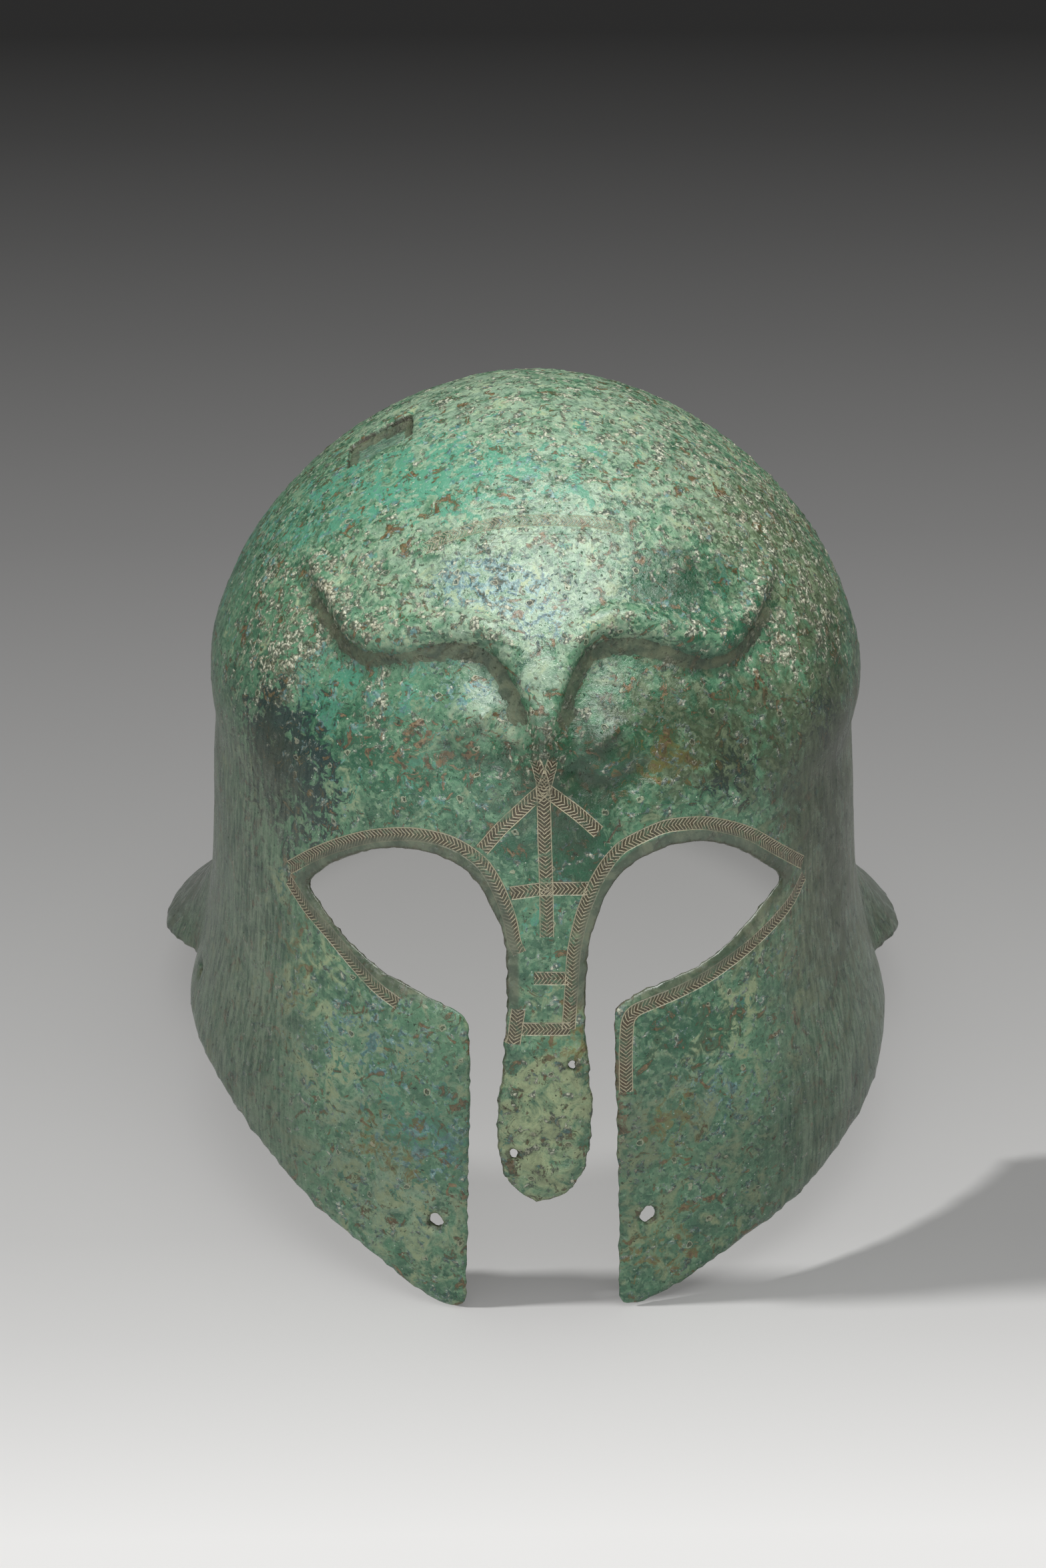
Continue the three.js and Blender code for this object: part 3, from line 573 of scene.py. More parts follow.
def raise_by_texture(piece, name, weights, kind, strength, middle=0.5, **settings):
    """Moves the surface out and in by a procedural texture, as far as the weights let it."""
    weigh(piece, name, weights)
    texture = bpy.data.textures.new(name, kind)
    for key, value in settings.items():
        setattr(texture, key, value)
    modifier = piece.modifiers.new(name, "DISPLACE")
    modifier.texture = texture
    modifier.texture_coords = "LOCAL"
    modifier.vertex_group = name
    modifier.strength = strength * MM
    modifier.mid_level = middle
    apply_modifiers(piece)
    piece.vertex_groups.clear()


def carved_relief(places, tree, outer):
    """Hollows, rises and the repair of the relief, in millimetres, on the outside alone."""
    hollows = route_amounts(places, tree, HOLLOWS["rows"], flatter=UNDERCUT_FLATTER) * outer
    rises = route_amounts(places, tree, RISES["rows"]) * outer
    repair = repair_distance(places)
    plate = REPAIR_DEEP * smoothstep(repair, -0.4, 0.7)
    groove = REPAIR_GROOVE * np.exp(-((repair - 0.6) / 0.9) ** 2)
    return hollows, rises, repair, plate + groove


def fit_into_cad_box(piece):
    """Shrinks a piece about its middle until it is within the box of the CAD part."""
    places, _ = coordinates(piece.data)
    low, high = np.array(CAD_BOX[0]), np.array(CAD_BOX[1])
    share = float(min(1, *((high - low) / (places.max(0) - places.min(0)))))
    middle = (places.max(0) + places.min(0)) / 2
    with edit_mode("SELECT"):
        bpy.ops.transform.resize(value=(share,) * 3, center_override=tuple(middle))


def finished_shell(settings):
    """The bronze wall: smooth, crusted and chipped, with what its finish needs on its vertices."""
    piece = merged_copy("helmet_shell", "bronze_shell")
    rims = rim_points(piece)
    finer = piece.modifiers.new("finer", "SUBSURF")
    finer.levels = settings.fineness
    finer.render_levels = settings.fineness
    apply_modifiers(piece)

    rest, rest_normals = coordinates(piece.data)
    places = as_worn(rest)
    normals = worn_direction(rest_normals)
    level = places[:, 2]
    faces = [tuple(polygon.vertices) for polygon in piece.data.polygons]
    tree = BVHTree.FromPolygons([tuple(place) for place in places], faces)
    amounts = patch_amounts(places, tree)
    rim = distance_to(rims, rest, RIM_REACH * MM) / MM

    # A vertex whose normal points at the line up through the head is on the inside.
    head = np.stack([level * 0, level * 0 + HEAD_Y, np.clip(level, *HEAD_LEVELS)], 1)
    inner = smoothstep(((head - places) * normals).sum(1), 0, 16)
    outer = 1 - inner

    hollows, rises, repair, sunk = carved_relief(places, tree, outer)
    raise_by_amount(piece, "relief", rises - hollows - sunk * outer)
    raise_by_texture(
        piece, "dents", outer, "CLOUDS", settings.dents, noise_scale=DENT_SIZE * MM, noise_depth=1,
    )
    before, before_normals = coordinates(piece.data)
    bowl = smoothstep(level, BOWL_STARTS, BOWL_FULL)
    raise_by_texture(
        piece, "crust", outer * np.clip(amounts["crust"] + 0.22 * bowl + 0.1, 0, 1), "CLOUDS",
        settings.crust, middle=0.45, noise_type="HARD_NOISE", noise_scale=CRUST_SIZE * MM, noise_depth=3,
    )
    ragged = 0.45 + 0.55 * smoothstep(level, SMOOTH_ABOVE, RAGGED_BELOW)
    raise_by_texture(
        piece, "chips", smoothstep(rim, CHIPPED_WIDTH, 0.6) * ragged, "CLOUDS",
        settings.chips, middle=0.62, noise_scale=CHIP_SIZE * MM, noise_depth=2,
    )
    after, _ = coordinates(piece.data)
    raised = ((after - before) * before_normals).sum(1) / MM * smoothstep(rim, 1.0, 3.0)
    fit_into_cad_box(piece)

    eye_edge = smoothstep(level, LIP_LOW - 3, LIP_LOW + 3) * smoothstep(level, LIP_HIGH + 3, LIP_HIGH - 3)
    eye_edge *= smoothstep(np.abs(places[:, 0]), LIP_ACROSS + 2, LIP_ACROSS - 2)
    stored = {
        **amounts,
        "lip": smoothstep(rim, LIP_WIDTH, LIP_WIDTH - 1) * eye_edge,
        "hollow": np.clip(hollows / HOLLOWS["rows"][0][0], 0, 1),
        "proud": np.clip(rises / RISES["rows"][0][0], 0, 1),
        "repair": np.where(outer > 0.5, repair, -REPAIR_FAR),
        "rim": rim,
        "inner": inner,
        "raised": raised,
    }
    for name, routes in BORDERS.items():
        put_attribute(piece.data, name, "FLOAT_VECTOR", border_layer(places, normals, tree, routes))
    for name, values in stored.items():
        put_attribute(piece.data, name, "FLOAT", values)
    select_only(piece)
    bpy.ops.object.shade_smooth()
    return piece


class Field:
    """A number that varies over a surface: a shader socket that Python's operators work on."""

    def __init__(self, shader, socket):
        self.shader = shader
        self.socket = socket

    def math(self, operation, *values, clamp=False):
        settings = {"operation": operation, "use_clamp": clamp}
        return self.shader.add("ShaderNodeMath", settings, dict(enumerate(values)))[0]

    def __add__(self, other):
        return self.math("ADD", self, other)

    __radd__ = __add__

    def __sub__(self, other):
        return self.math("SUBTRACT", self, other)

    def __rsub__(self, other):
        return self.math("SUBTRACT", other, self)

    def __mul__(self, other):
        return self.math("MULTIPLY", self, other)

    __rmul__ = __mul__

    def __abs__(self):
        return self.math("ABSOLUTE", self)

    def clamped(self):
        return self.math("ADD", self, 0.0, clamp=True)

    def fraction(self):
        return self.math("FRACT", self)

    def at_least(self, other):
        return self.math("MAXIMUM", self, other)

    def between(self, start, end, rise="SMOOTHSTEP"):
        """0 at start and 1 at end, with a smooth turn between."""
        inputs = {"Value": self, "From Min": start, "From Max": end}
        return self.shader.add("ShaderNodeMapRange", {"interpolation_type": rise}, inputs)[0]

    def evenly(self, start, end):
        """0 at start and 1 at end, with an even rise between."""
        return self.between(start, end, rise="LINEAR")


class Added:
    """A node that was added, whose outputs are read as fields, by name or index."""

    def __init__(self, shader, node):
        self.shader = shader
        self.node = node

    def __getitem__(self, output):
        return Field(self.shader, self.node.outputs[output])


class Shader:
    """A material's nodes, added one by one: settings first, then the sockets' values or links."""

    def __init__(self, name):
        self.material = bpy.data.materials.new(name)
        self.material.use_nodes = True
        self.tree = self.material.node_tree
        self.surface = self.tree.nodes["Principled BSDF"]

    def add(self, kind, settings=None, inputs=None):
        node = self.tree.nodes.new(kind)
        for key, value in (settings or {}).items():
            setattr(node, key, value)
        self.feed(node, inputs or {})
        return Added(self, node)

    def feed(self, node, inputs):
        for key, value in inputs.items():
            if isinstance(value, Field):
                self.tree.links.new(value.socket, node.inputs[key])
            else:
                node.inputs[key].default_value = value

    def stored(self, name, output="Fac"):
        """What is stored on the vertices under a name."""
        return self.add("ShaderNodeAttribute", {"attribute_name": name})[output]

    def axes(self, place):
        """A place's or a vector's three numbers."""
        parts = self.add("ShaderNodeSeparateXYZ", None, {0: place})
        return [parts[axis] for axis in "XYZ"]

    def vector(self, operation, first, second):
        """Vector Math on two places."""
        return self.add("ShaderNodeVectorMath", {"operation": operation}, {0: first, 1: second})[0]

    def worn_place(self):
        """The place on the worn helmet, in millimetres."""
        place = self.add("ShaderNodeTexCoord")["Object"]
        inputs = {
            "Vector": place,
            "Location": WORN_ORIGIN * MM,
            "Rotation": (-TIPPED, 0, 0),
            "Scale": (MM, MM, MM),
        }
        return self.add("ShaderNodeMapping", {"vector_type": "TEXTURE"}, inputs)[0]

    def moved(self, place, by=(0, 0, 0), times=(1, 1, 1)):
        """A place stretched and then moved."""
        return self.vector("ADD", self.vector("MULTIPLY", place, times), by)

    def noise(self, place, size, detail, roughness, distortion=0.0):
        """Noise of one size, in millimetres."""
        inputs = {
            "Vector": place,
            "Scale": 1 / size,
            "Detail": detail,
            "Roughness": roughness,
            "Distortion": distortion,
        }
        return self.add("ShaderNodeTexNoise", {"noise_dimensions": "3D"}, inputs)[0]

    def warped(self, place, size, by):
        """A place pushed about by noise, so that a pattern on it is irregular."""
        inputs = {"Vector": place, "Scale": 1 / size, "Detail": 2.0}
        push = self.add("ShaderNodeTexNoise", {"noise_dimensions": "3D"}, inputs)["Color"]
        centred = self.vector("SUBTRACT", push, (0.5, 0.5, 0.5))
        scaled = self.vector("MULTIPLY", centred, (by, by, by))
        return self.vector("ADD", place, scaled)

    def grains(self, place, size):
        """Grains of one size: distance from the middle of each, and each one's own random number."""
        node = self.add("ShaderNodeTexVoronoi", {"feature": "F1"}, {"Vector": place, "Scale": 1 / size})
        parts = self.add("ShaderNodeSeparateColor", None, {0: node["Color"]})
        return node["Distance"], parts["Red"]

    def mixed(self, share, first, second, blend="MIX"):
        """Two colours mixed by a share of the second."""
        settings = {"data_type": "RGBA", "blend_type": blend, "clamp_factor": True}
        return self.add("ShaderNodeMix", settings, {0: share, 6: first, 7: second})[2]


def linear(red, green, blue):
    """A colour given in display values from 0 to 255, as the light that it sends back."""
    def one(value):
        value = value / 255
        return value / 12.92 if value <= 0.04045 else ((value + 0.055) / 1.055) ** 2.4

    return (one(red), one(green), one(blue), 1.0)


def tones(**levels):
    """Colours by name, given as display values."""
    return SimpleNamespace(**{name: linear(*values) for name, values in levels.items()})


# Tones of the patina and of the painted shade, besides those that HelmetSettings holds.
TONE = tones(
    flake=(98, 146, 112), olive=(88, 96, 66), pale=(150, 174, 150), mottle_dark=(34, 60, 44),
    mottle_light=(158, 182, 148), low_light=(132, 158, 124), low_dark=(44, 84, 64),
    lime_light=(188, 200, 150), lime_dark=(124, 152, 112), emerald=(28, 84, 58), clean_dark=(56, 122, 96),
    shadowy=(32, 54, 40), navy=(24, 46, 48), ochre=(122, 110, 58), blue_dark=(58, 98, 112),
    blue_light=(122, 162, 166), crust_dark=(92, 104, 80), crust_tan=(150, 122, 92),
    crust_gap=(46, 52, 36), rust_dark=(70, 52, 34), pit=(36, 42, 28), ring=(176, 174, 148),
    ring_pit=(72, 60, 42), speck=(214, 222, 206), streak_dark=(50, 62, 50), streak_light=(124, 132, 112),
    shade=(38, 50, 34), border=(68, 55, 36), plate_dark=(52, 74, 70), plate_light=(112, 144, 124),
    seam=(34, 30, 20), lip_dark=(70, 78, 64), lip_light=(98, 104, 86), edge=(66, 64, 48),
    hollow=(34, 52, 36), inside_dark=(52, 60, 46), inside_light=(84, 90, 68),
)

# Noises of the patina on the worn helmet, from the broadest to the finest, in millimetres.
NOISES = {
    "columns": ("name", "moved_by", "size", "detail", "roughness", "distortion"),
    "rows": [
        ("broad", (0, 0, 0), 26, 4, 0.6, 0.6),
        ("patchy", (31, 7, 13), 8, 5, 0.62, 0.8),
        ("cloudy", (57, -23, 11), 5, 6, 0.7, 1.0),
        ("blotchy", (-17, 41, 5), 3.4, 5, 0.66, 0.5),
        ("grainy", (3, 19, 47), 1.1, 4, 0.7, 0.0),
    ],
}


def herringbone(shader, name, wander):
    """One layer of engraved borders: where its brown ground lies, and where its strokes are cut."""
    along, across, room = shader.axes(shader.stored(name, "Vector"))
    away = abs(across)
    ends = room.between(-0.1, 0.25)
    ground = away.between(BORDER_HALF + 0.15, BORDER_HALF - 0.15) * ends
    strokes = ((along + wander) * STROKES_PER_MM + away * STROKE_SLANT).fraction()
    stroke = abs(strokes - 0.5).between(0.22, 0.08) * away.between(BORDER_HALF - 0.1, BORDER_HALF - 0.3)
    line = abs(away - BORDER_HALF).between(0.22, 0.08)
    return ground, stroke.at_least(line) * ends


def patch(amount, noise, gain, edge):
    """A patch with a crisp, ragged outline, where its amount and the noise together are enough."""
    return (amount + (noise - 0.5) * gain).between(0.5 - edge, 0.5 + edge)


def bronze_fields(shader):
    """What the patina's colour, gloss and relief are made from, each varying over the shell."""
    place = shader.worn_place()
    f = SimpleNamespace(amount={name: shader.stored(name) for name in PATCHES})
    for name in ("rim", "inner", "raised", "lip", "hollow", "proud", "repair"):
        setattr(f, name, shader.stored(name))
    for name, by, size, detail, roughness, distortion in NOISES["rows"]:
        setattr(f, name, shader.noise(shader.moved(place, by=by), size, detail, roughness, distortion))
    f.clouds = f.patchy * 0.55 + f.cloudy * 0.45

    # The sides below the bowl, streaked from top to bottom, and levels of the front.
    across, _, level = shader.axes(place)
    f.beside = abs(across).between(58, 84) * level.between(176, 150)
    f.low = level.between(125, 95)
    f.middle = level.between(206, 194)
    f.forehead = level.between(196, 206)
    f.streaks = shader.noise(shader.moved(place, times=(1, 1, 0.14)), 1.5, 4, 0.65)

    # Grains of the crust, larger flakes, rings round pits, and specks.
    loose = shader.warped(place, 2.0, 2.2)
    f.grain_gap, f.grain_tone = shader.grains(loose, 1.05)
    _, f.flake_tone = shader.grains(shader.warped(place, 5, 6), 3.4)
    ring_gap, ring_tone = shader.grains(shader.moved(loose, by=(13, 3, 61)), 5.2)
    chosen = ring_tone.between(0.72, 0.76) * (1 - f.beside)
    f.ring = abs(ring_gap - 0.17).between(0.06, 0.02) * chosen
    f.ring_pit = ring_gap.between(0.14, 0.1) * chosen
    speck_gap, speck_tone = shader.grains(shader.moved(place, by=(9, 1, 31)), 1.9)
    f.speck = speck_gap.between(0.13, 0.08) * speck_tone.between(0.7, 0.75)
    f.pits = (f.grainy * 0.6 + f.blotchy * 0.4).between(0.4, 0.34)

    # Clean patches keep the crust off.
    f.clean = patch(f.amount["turquoise"] * 0.62, f.clouds * 0.7 + f.blotchy * 0.3, 6, 0.08)
    crusty = f.amount["crust"] * 0.72 + f.raised * 0.5 + f.proud * 0.22
    f.crusted = patch(crusty, f.blotchy, 4.2, 0.16) * (1 - f.clean * 0.8)

    # Engraved borders, worn away in places.
    wander = (f.blotchy - 0.5) * 1.4
    (ground, strokes), *others = [herringbone(shader, name, wander) for name in BORDERS]
    for other_ground, other_strokes in others:
        ground = ground.at_least(other_ground)
        strokes = strokes.at_least(other_strokes)
    kept = (f.cloudy * 0.7 + f.blotchy * 0.6).between(0.5, 0.66) * 0.72 + 0.28
    f.ground = ground * kept
    f.strokes = strokes * kept
    return f


def green_layers(shader, f, settings):
    """The greens and their stains, from the bottom up: how much of each, and its colour."""
    amount, between = f.amount, shader.mixed
    mottled = between(f.grain_tone.between(0.1, 0.9), TONE.mottle_dark, TONE.mottle_light)
    mottling = (f.blotchy.between(0.38, 0.62) * 0.66 + 0.14) * (1 - f.beside * 0.5) * (1 - f.middle * 0.45)
    limy = between(f.blotchy.between(0.4, 0.62) * 0.6, TONE.lime_light, TONE.lime_dark)
    return [
        (f.broad.between(0.4, 0.6), settings.light_green),
        (f.flake_tone * 0.5, TONE.flake),
        (patch(amount["olive"], f.patchy, 3, 0.3) * 0.8, TONE.olive),
        (patch(amount["pale"] * 0.85, f.patchy, 3.5, 0.35) * 0.8, TONE.pale),
        (mottling, mottled),
        (f.low * f.clouds.between(0.5, 0.6) * 0.45, TONE.low_light),
        (f.low * f.clouds.between(0.47, 0.39) * 0.5, TONE.low_dark),
        (patch(amount["lime"] * 0.9, f.patchy, 3.4, 0.35) * 0.78, limy),
        (patch(amount["emerald"], f.cloudy, 3.5, 0.16) * 0.82, TONE.emerald),
        (f.clean * 0.88, between(f.blotchy, TONE.clean_dark, settings.turquoise)),
        (patch(0.1, f.cloudy, 5, 0.1) * 0.7, TONE.shadowy),
        (patch(amount["navy"], f.cloudy, 4.5, 0.1) * 0.9, TONE.navy),
        (patch(amount["ochre"] * 0.75, f.cloudy, 4.5, 0.15) * 0.65, TONE.ochre),
        (
            patch(amount["blue"] * 0.7, f.blotchy, 5, 0.1) * 0.7,
            between(f.grain_tone, TONE.blue_dark, TONE.blue_light),
        ),
    ]


def crust_layers(shader, f, settings):
    """Pale grains with dark gaps, then flecks of tan and rust, pits with pale rings, and specks."""
    amount, between = f.amount, shader.mixed
    crust = between(f.grain_tone.between(0.1, 0.8), TONE.crust_dark, settings.crust_colour)
    crust = between(f.patchy.between(0.45, 0.6) * 0.35, crust, TONE.crust_tan)
    crust = between(f.grain_gap.between(0.42, 0.62) * 0.8, crust, TONE.crust_gap)
    rusty = patch(amount["rust"] * amount["rust"] * 0.76 - 0.13, f.cloudy, 5, 0.08)
    return [
        (f.crusted * 0.88, crust),
        (rusty * 0.82, between(f.grain_tone, TONE.rust_dark, settings.rust)),
        (f.pits * 0.75, TONE.pit),
        (f.ring * 0.55, TONE.ring),
        (f.ring_pit * 0.6, TONE.ring_pit),
        (f.speck * 0.6, TONE.speck),
    ]


def worked_layers(shader, f, settings):
    """Grey streaked sides, painted shade in patches and hollows, borders, the repair, the edges with
    partly painted shade on the eyes' lips, and the inside.
    """
    between = shader.mixed
    in_patches = f.patchy.between(0.4, 0.6)
    return [
        (f.beside * 0.6, between(f.streaks.between(0.36, 0.62), TONE.streak_dark, TONE.streak_light)),
        # Painted shade: darkens the dark patches in recesses, on the right side and at the low rear.
        ((f.amount["dark"] + (f.patchy - 0.5) * 2).between(0.1, 1.0) * 0.66, TONE.shade),
        (f.ground * (0.86 - f.forehead * 0.6), TONE.border),
        (f.strokes * (0.82 - f.forehead * 0.3), settings.engraving),
        (
            f.repair.between(0.2, 0.9) * 0.6,
            between(f.cloudy.between(0.4, 0.6), TONE.plate_dark, TONE.plate_light),
        ),
        (abs(f.repair - 0.5).between(1.5, 0.6) * (f.cloudy - 0.38).between(0.0, 0.16) * 0.9, TONE.seam),
        # The eyes' smooth lips are grey-green, their darkness partly painted shade where the edge turns
        # down.
        (f.lip * 0.85, between(in_patches, TONE.lip_dark, TONE.lip_light)),
        ((f.rim + (f.grainy - 0.5) * 2.2).between(1.2, 0.4) * 0.7, TONE.edge),
        # Painted shade: the hollows of the relief, the undercut of the brows most, are darkened where
        # shade falls.
        ((f.hollow + (f.blotchy - 0.5) * 0.6).between(0.1, 1.1) * 0.6, TONE.hollow),
        (f.inner * 0.85, between(in_patches, TONE.inside_dark, TONE.inside_light)),
    ]


def bronze_finish(settings):
    """Old buried bronze: greens and turquoise under crust, stains, flecks and engraved borders, with
    painted shade.
    """
    shader = Shader("patinated_bronze")
    f = bronze_fields(shader)
    colour = settings.deep_green
    for layers in (green_layers, crust_layers, worked_layers):
        for share, tone in layers(shader, f, settings):
            colour = shader.mixed(share, colour, tone)

    even = (1 - f.lip) * (1 - f.crusted * 0.5)
    roughness = 0.29 + f.crusted * 0.26 + (f.patchy - 0.5) * 0.5 + f.inner * 0.25 + f.pits * 0.2
    roughness = roughness - (1 - even) * 0.04 - f.amount["pale"] * 0.05
    height = f.grainy * 0.3 + f.blotchy * 0.3 + f.crusted * (0.75 - f.grain_gap) * 0.55
    height = height + f.ring * 0.2 - f.ring_pit * 0.3 - f.pits * 0.35
    height = height - f.strokes * 0.2 - f.ground * 0.12 + f.streaks * f.beside * 0.3
    height = height * (1 - f.lip * 0.75)
    inputs = {"Height": height, "Distance": BUMP_HEIGHT * MM, "Strength": 1.0}
    shader.feed(shader.surface, {
        "Base Color": colour,
        "Roughness": roughness.clamped(),
        "Metallic": 0.0,
        "Normal": shader.add("ShaderNodeBump", None, inputs)["Normal"],
        "Specular IOR Level": 0.6,
    })
    return shader.material


def floor_finish(settings):
    """Matt paper that runs from pale grey in front to dark grey far behind, the darkening painted shade.
    """
    shader = Shader("studio_paper")
    _, depth, _ = shader.axes(shader.add("ShaderNodeTexCoord")["Object"])
    rows = PAPER["rows"]
    tone = linear(*[rows[0][1]] * 3)
    # Painted shade: the paper grows darker further behind.
    for (start, _), (end, grey) in zip(rows, rows[1:]):
        tone = shader.mixed(depth.evenly(start, end), tone, linear(*[grey] * 3))
    tone = shader.mixed(1.0, tone, settings.paper, "MULTIPLY")
    shader.feed(shader.surface, {"Base Color": tone, "Roughness": 1.0, "Specular IOR Level": 0.0})
    return shader.material


def named_light(name, kind, place, power, lit, **turned):
    """A new light that falls on one object only."""
    bpy.ops.object.light_add(type=kind, location=place, **turned)
    light = bpy.context.active_object
    light.name = name
    light.data.name = name
    light.data.energy = power
    receivers = bpy.data.collections.new(name + "_falls_on")
    receivers.objects.link(lit)
    light.light_linking.receiver_collection = receivers
    return light


def light_helmet(settings, helmet):
    """Square soft boxes that point at the helmet and light it alone."""
    for name, setting, place, size in SOFT_BOXES["rows"]:
        box = named_light(name, "AREA", place, getattr(settings, setting), helmet)
        box.data.shape = "SQUARE"
        box.data.size = size
        box.rotation_euler = (MIDDLE - Vector(place)).to_track_quat("-Z", "Y").to_euler()


def floor_sun(name, strength, floor, shadow_of=None, tilt=0, turn=0, soft=0):
    """Even light on the floor alone, with the shadow of one object or none.

    It comes from straight above, or is tilted to the left and turned behind.
    """
    sun = named_light(name, "SUN", (0, 0, 2), strength, floor, rotation=(0, -tilt, -turn))
    sun.data.angle = soft
    sun.data.use_shadow = shadow_of is not None
    if shadow_of is not None:
        blockers = bpy.data.collections.new(name + "_blockers")
        blockers.objects.link(shadow_of)
        sun.light_linking.blocker_collection = blockers


def shadow_front(shell):
    """The front of the cheek pieces and nose guard, unseen within the wall, for the long shadow."""
    front = copied(shell, "shadow_front")
    places, _ = coordinates(front.data)
    furthest = np.where(places[:, 0] < 0, SHADOW_LEFT, SHADOW_RIGHT)
    beyond = (places[:, 1] > furthest) | (places[:, 2] > SHADOW_TOP)
    with edit_mode("DESELECT"):
        pass  # so that no face or edge is left selected
    front.data.vertices.foreach_set("select", beyond)
    with edit_mode():
        bpy.ops.mesh.delete(type="VERT")
    with edit_mode("SELECT"):
        bpy.ops.transform.shrink_fatten(value=-SHADOW_INSIDE)
    front.visible_camera = False
    front.visible_diffuse = False
    front.visible_glossy = False
    return front


def light_floor(settings, floor, helmet, front):
    """A key light for the long shadow, soft light from above, and even light, inside the helmet too."""
    floor_sun("floor_key", settings.floor_key, floor, front, tilt=KEY_TILT, turn=KEY_TURN, soft=KEY_SOFT)
    floor_sun("floor_even", settings.floor_even, floor)
    floor_sun("floor_top", settings.floor_top, floor, helmet, soft=TOP_SOFT)
    inside = named_light("floor_inside", "SPOT", INSIDE_PLACE, settings.floor_inside, floor)
    inside.data.spot_size = 2 * math.atan(INSIDE_WIDE / INSIDE_PLACE[2])
    inside.data.spot_blend = INSIDE_EDGE
    inside.data.use_shadow = False


def fill_air(settings, scene):
    """Weak light from all round."""
    world = bpy.data.worlds.new("studio_air")
    world.use_nodes = True
    air = world.node_tree.nodes["Background"]
    air.inputs["Color"].default_value = (0.95, 0.97, 1.0, 1)
    air.inputs["Strength"].default_value = settings.air
    scene.world = world


def place_camera(settings, scene):
    """The camera, turned round the helmet's middle and raised above it."""
    direction = Vector((
        math.sin(settings.turn) * math.cos(settings.elevation),
        -math.cos(settings.turn) * math.cos(settings.elevation),
        math.sin(settings.elevation),
    ))
    place = MIDDLE + direction * settings.distance
    bpy.ops.object.camera_add(location=place)
    camera = bpy.context.active_object
    camera.name = "camera"
    look = (MIDDLE - place).to_track_quat("-Z", "Y")
    camera.rotation_euler = (look.to_matrix() @ Matrix.Rotation(settings.roll, 3, "Z")).to_euler()
    camera.data.lens = settings.lens
    camera.data.sensor_width = 36
    scene.camera = camera


def number_setting(name, description, default, **more):
    """A number that a user may change."""
    return bpy.props.FloatProperty(name=name, description=description, default=default, **more)


def angle_setting(name, description, degrees):
    """An angle that a user may change."""
    return number_setting(name, description, math.radians(degrees), subtype="ANGLE")


def colour_setting(name, description, levels):
    """A colour that a user may change, given as display values from 0 to 255."""
    return bpy.props.FloatVectorProperty(
        name=name, description=description, subtype="COLOR", size=4, default=linear(*levels), min=0, max=1,
    )


class HelmetSettings(bpy.types.PropertyGroup):
    """What a user would change on the helmet."""

    fineness: bpy.props.IntProperty(
        name="Fineness", description="Times each face is divided", default=2, min=1, max=2,
    )
    dents: number_setting("Dents", "Depth of the broad unevenness, in millimetres", 0.8)
    crust: number_setting("Crust", "Height of the crust, in millimetres", 1.5)
    chips: number_setting("Chips", "Depth of the chipped edges, in millimetres", 2.2)
    deep_green: colour_setting("Deep green", "Darker tone of the patina", (44, 88, 66))
    light_green: colour_setting("Light green", "Lighter tone of the patina", (78, 124, 94))
    turquoise: colour_setting("Turquoise", "Clean bright patches", (88, 164, 136))
    crust_colour: colour_setting("Crust colour", "Palest grains of the crust", (206, 206, 182))
    rust: colour_setting("Rust", "Lighter tone of the brown stains", (140, 118, 88))
    engraving: colour_setting("Engraving", "Bright metal in the engraved strokes", (192, 184, 154))


class StudioSettings(bpy.types.PropertyGroup):
    """What a user would change in the studio."""

    paper: bpy.props.FloatVectorProperty(
        name="Paper", description="Colour of the floor in front", subtype="COLOR", size=4,
        default=(1.0, 0.99, 0.975, 1.0), min=0, max=1,
    )
    overhead: number_setting("Overhead", "Soft box above", 17.0, unit="POWER")
    side: number_setting("Side", "Soft box to the left", 1.6, unit="POWER")
    front: number_setting("Front", "Soft box in front", 9.0, unit="POWER")
    floor_key: number_setting("Shadow", "Light that casts the long shadow", 3.2)
    floor_even: number_setting("Floor light", "Even light on the floor", 0.9)
    floor_top: number_setting("Floor top", "Light that darkens the floor close by", 0.6)
    floor_inside: number_setting("Inside", "Light on the floor inside", 12.0, unit="POWER")
    air: number_setting("Air", "Light from all round", 0.12)
    floor_size: number_setting("Floor", "Side of the floor", 12.0, unit="LENGTH")
    distance: number_setting("Distance", "Camera to helmet", 1.5, unit="LENGTH")
    elevation: angle_setting("Elevation", "Camera above the helmet", 34.05)
    turn: angle_setting("Turn", "Camera round from the helmet's front", -1.674)
    roll: angle_setting("Roll", "Camera's roll", 0.363)
    lens: number_setting("Lens", "Focal length in millimetres", 112.1, unit="CAMERA")


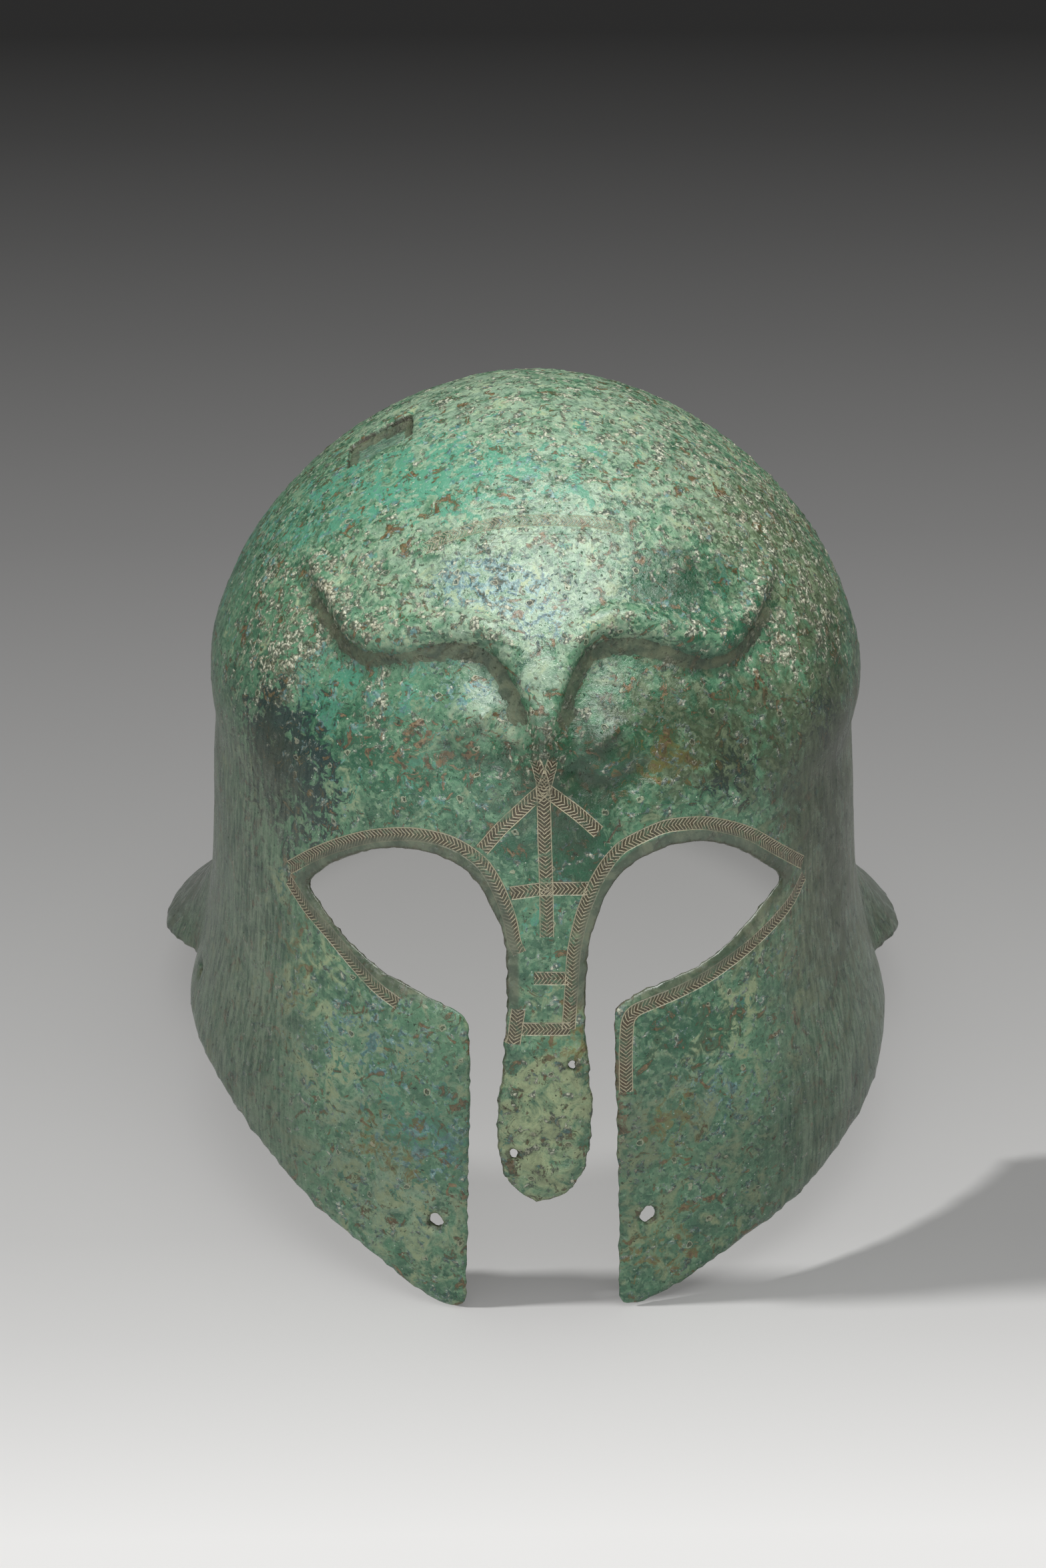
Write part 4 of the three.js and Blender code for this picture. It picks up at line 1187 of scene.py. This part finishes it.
class HELMET_OT_shell(bpy.types.Operator):
    """Make the bronze shell with its crust, chipped edges, engraving and patina"""

    bl_idname = "helmet.shell"
    bl_label = "Bronze Shell"

    def execute(self, context):
        shell = finished_shell(context.scene.helmet)
        shell.data.materials.append(bronze_finish(context.scene.helmet))
        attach(shell, "root")
        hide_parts("helmet_shell")
        return {"FINISHED"}


class HELMET_OT_studio(bpy.types.Operator):
    """Lay the paper floor, and place the lights and the camera"""

    bl_idname = "helmet.studio"
    bl_label = "Studio"

    def execute(self, context):
        settings = context.scene.helmet_studio
        bpy.ops.object.select_all(action="DESELECT")
        bpy.ops.mesh.primitive_plane_add(size=settings.floor_size, location=(0, 0, 0))
        floor = context.active_object
        floor.name = "paper_floor"
        floor.data.materials.append(floor_finish(settings))

        helmet = bpy.data.objects["bronze_shell"]
        light_helmet(settings, helmet)
        front = shadow_front(helmet)
        light_floor(settings, floor, helmet, front)
        fill_air(settings, context.scene)
        context.scene.view_settings.view_transform = "Standard"
        place_camera(settings, context.scene)
        return {"FINISHED"}


class HELMET_PT_panel(bpy.types.Panel):
    """Lists what makes the helmet"""

    bl_label = "Corinthian Helmet"
    bl_space_type = "VIEW_3D"
    bl_region_type = "UI"
    bl_category = "Helmet"

    def draw(self, context):
        scene = context.scene
        for operator, settings in (("helmet.shell", scene.helmet), ("helmet.studio", scene.helmet_studio)):
            box = self.layout.box()
            for name in settings.__annotations__:
                box.prop(settings, name)
            box.operator(operator)


CLASSES = (HelmetSettings, StudioSettings, HELMET_OT_shell, HELMET_OT_studio, HELMET_PT_panel)


def register():
    for one in CLASSES:
        bpy.utils.register_class(one)
    bpy.types.Scene.helmet = bpy.props.PointerProperty(type=HelmetSettings)
    bpy.types.Scene.helmet_studio = bpy.props.PointerProperty(type=StudioSettings)


def unregister():
    del bpy.types.Scene.helmet_studio
    del bpy.types.Scene.helmet
    for one in reversed(CLASSES):
        bpy.utils.unregister_class(one)


def main():
    register()
    bpy.ops.helmet.shell()
    bpy.ops.helmet.studio()


if __name__ == "__main__":
    main()
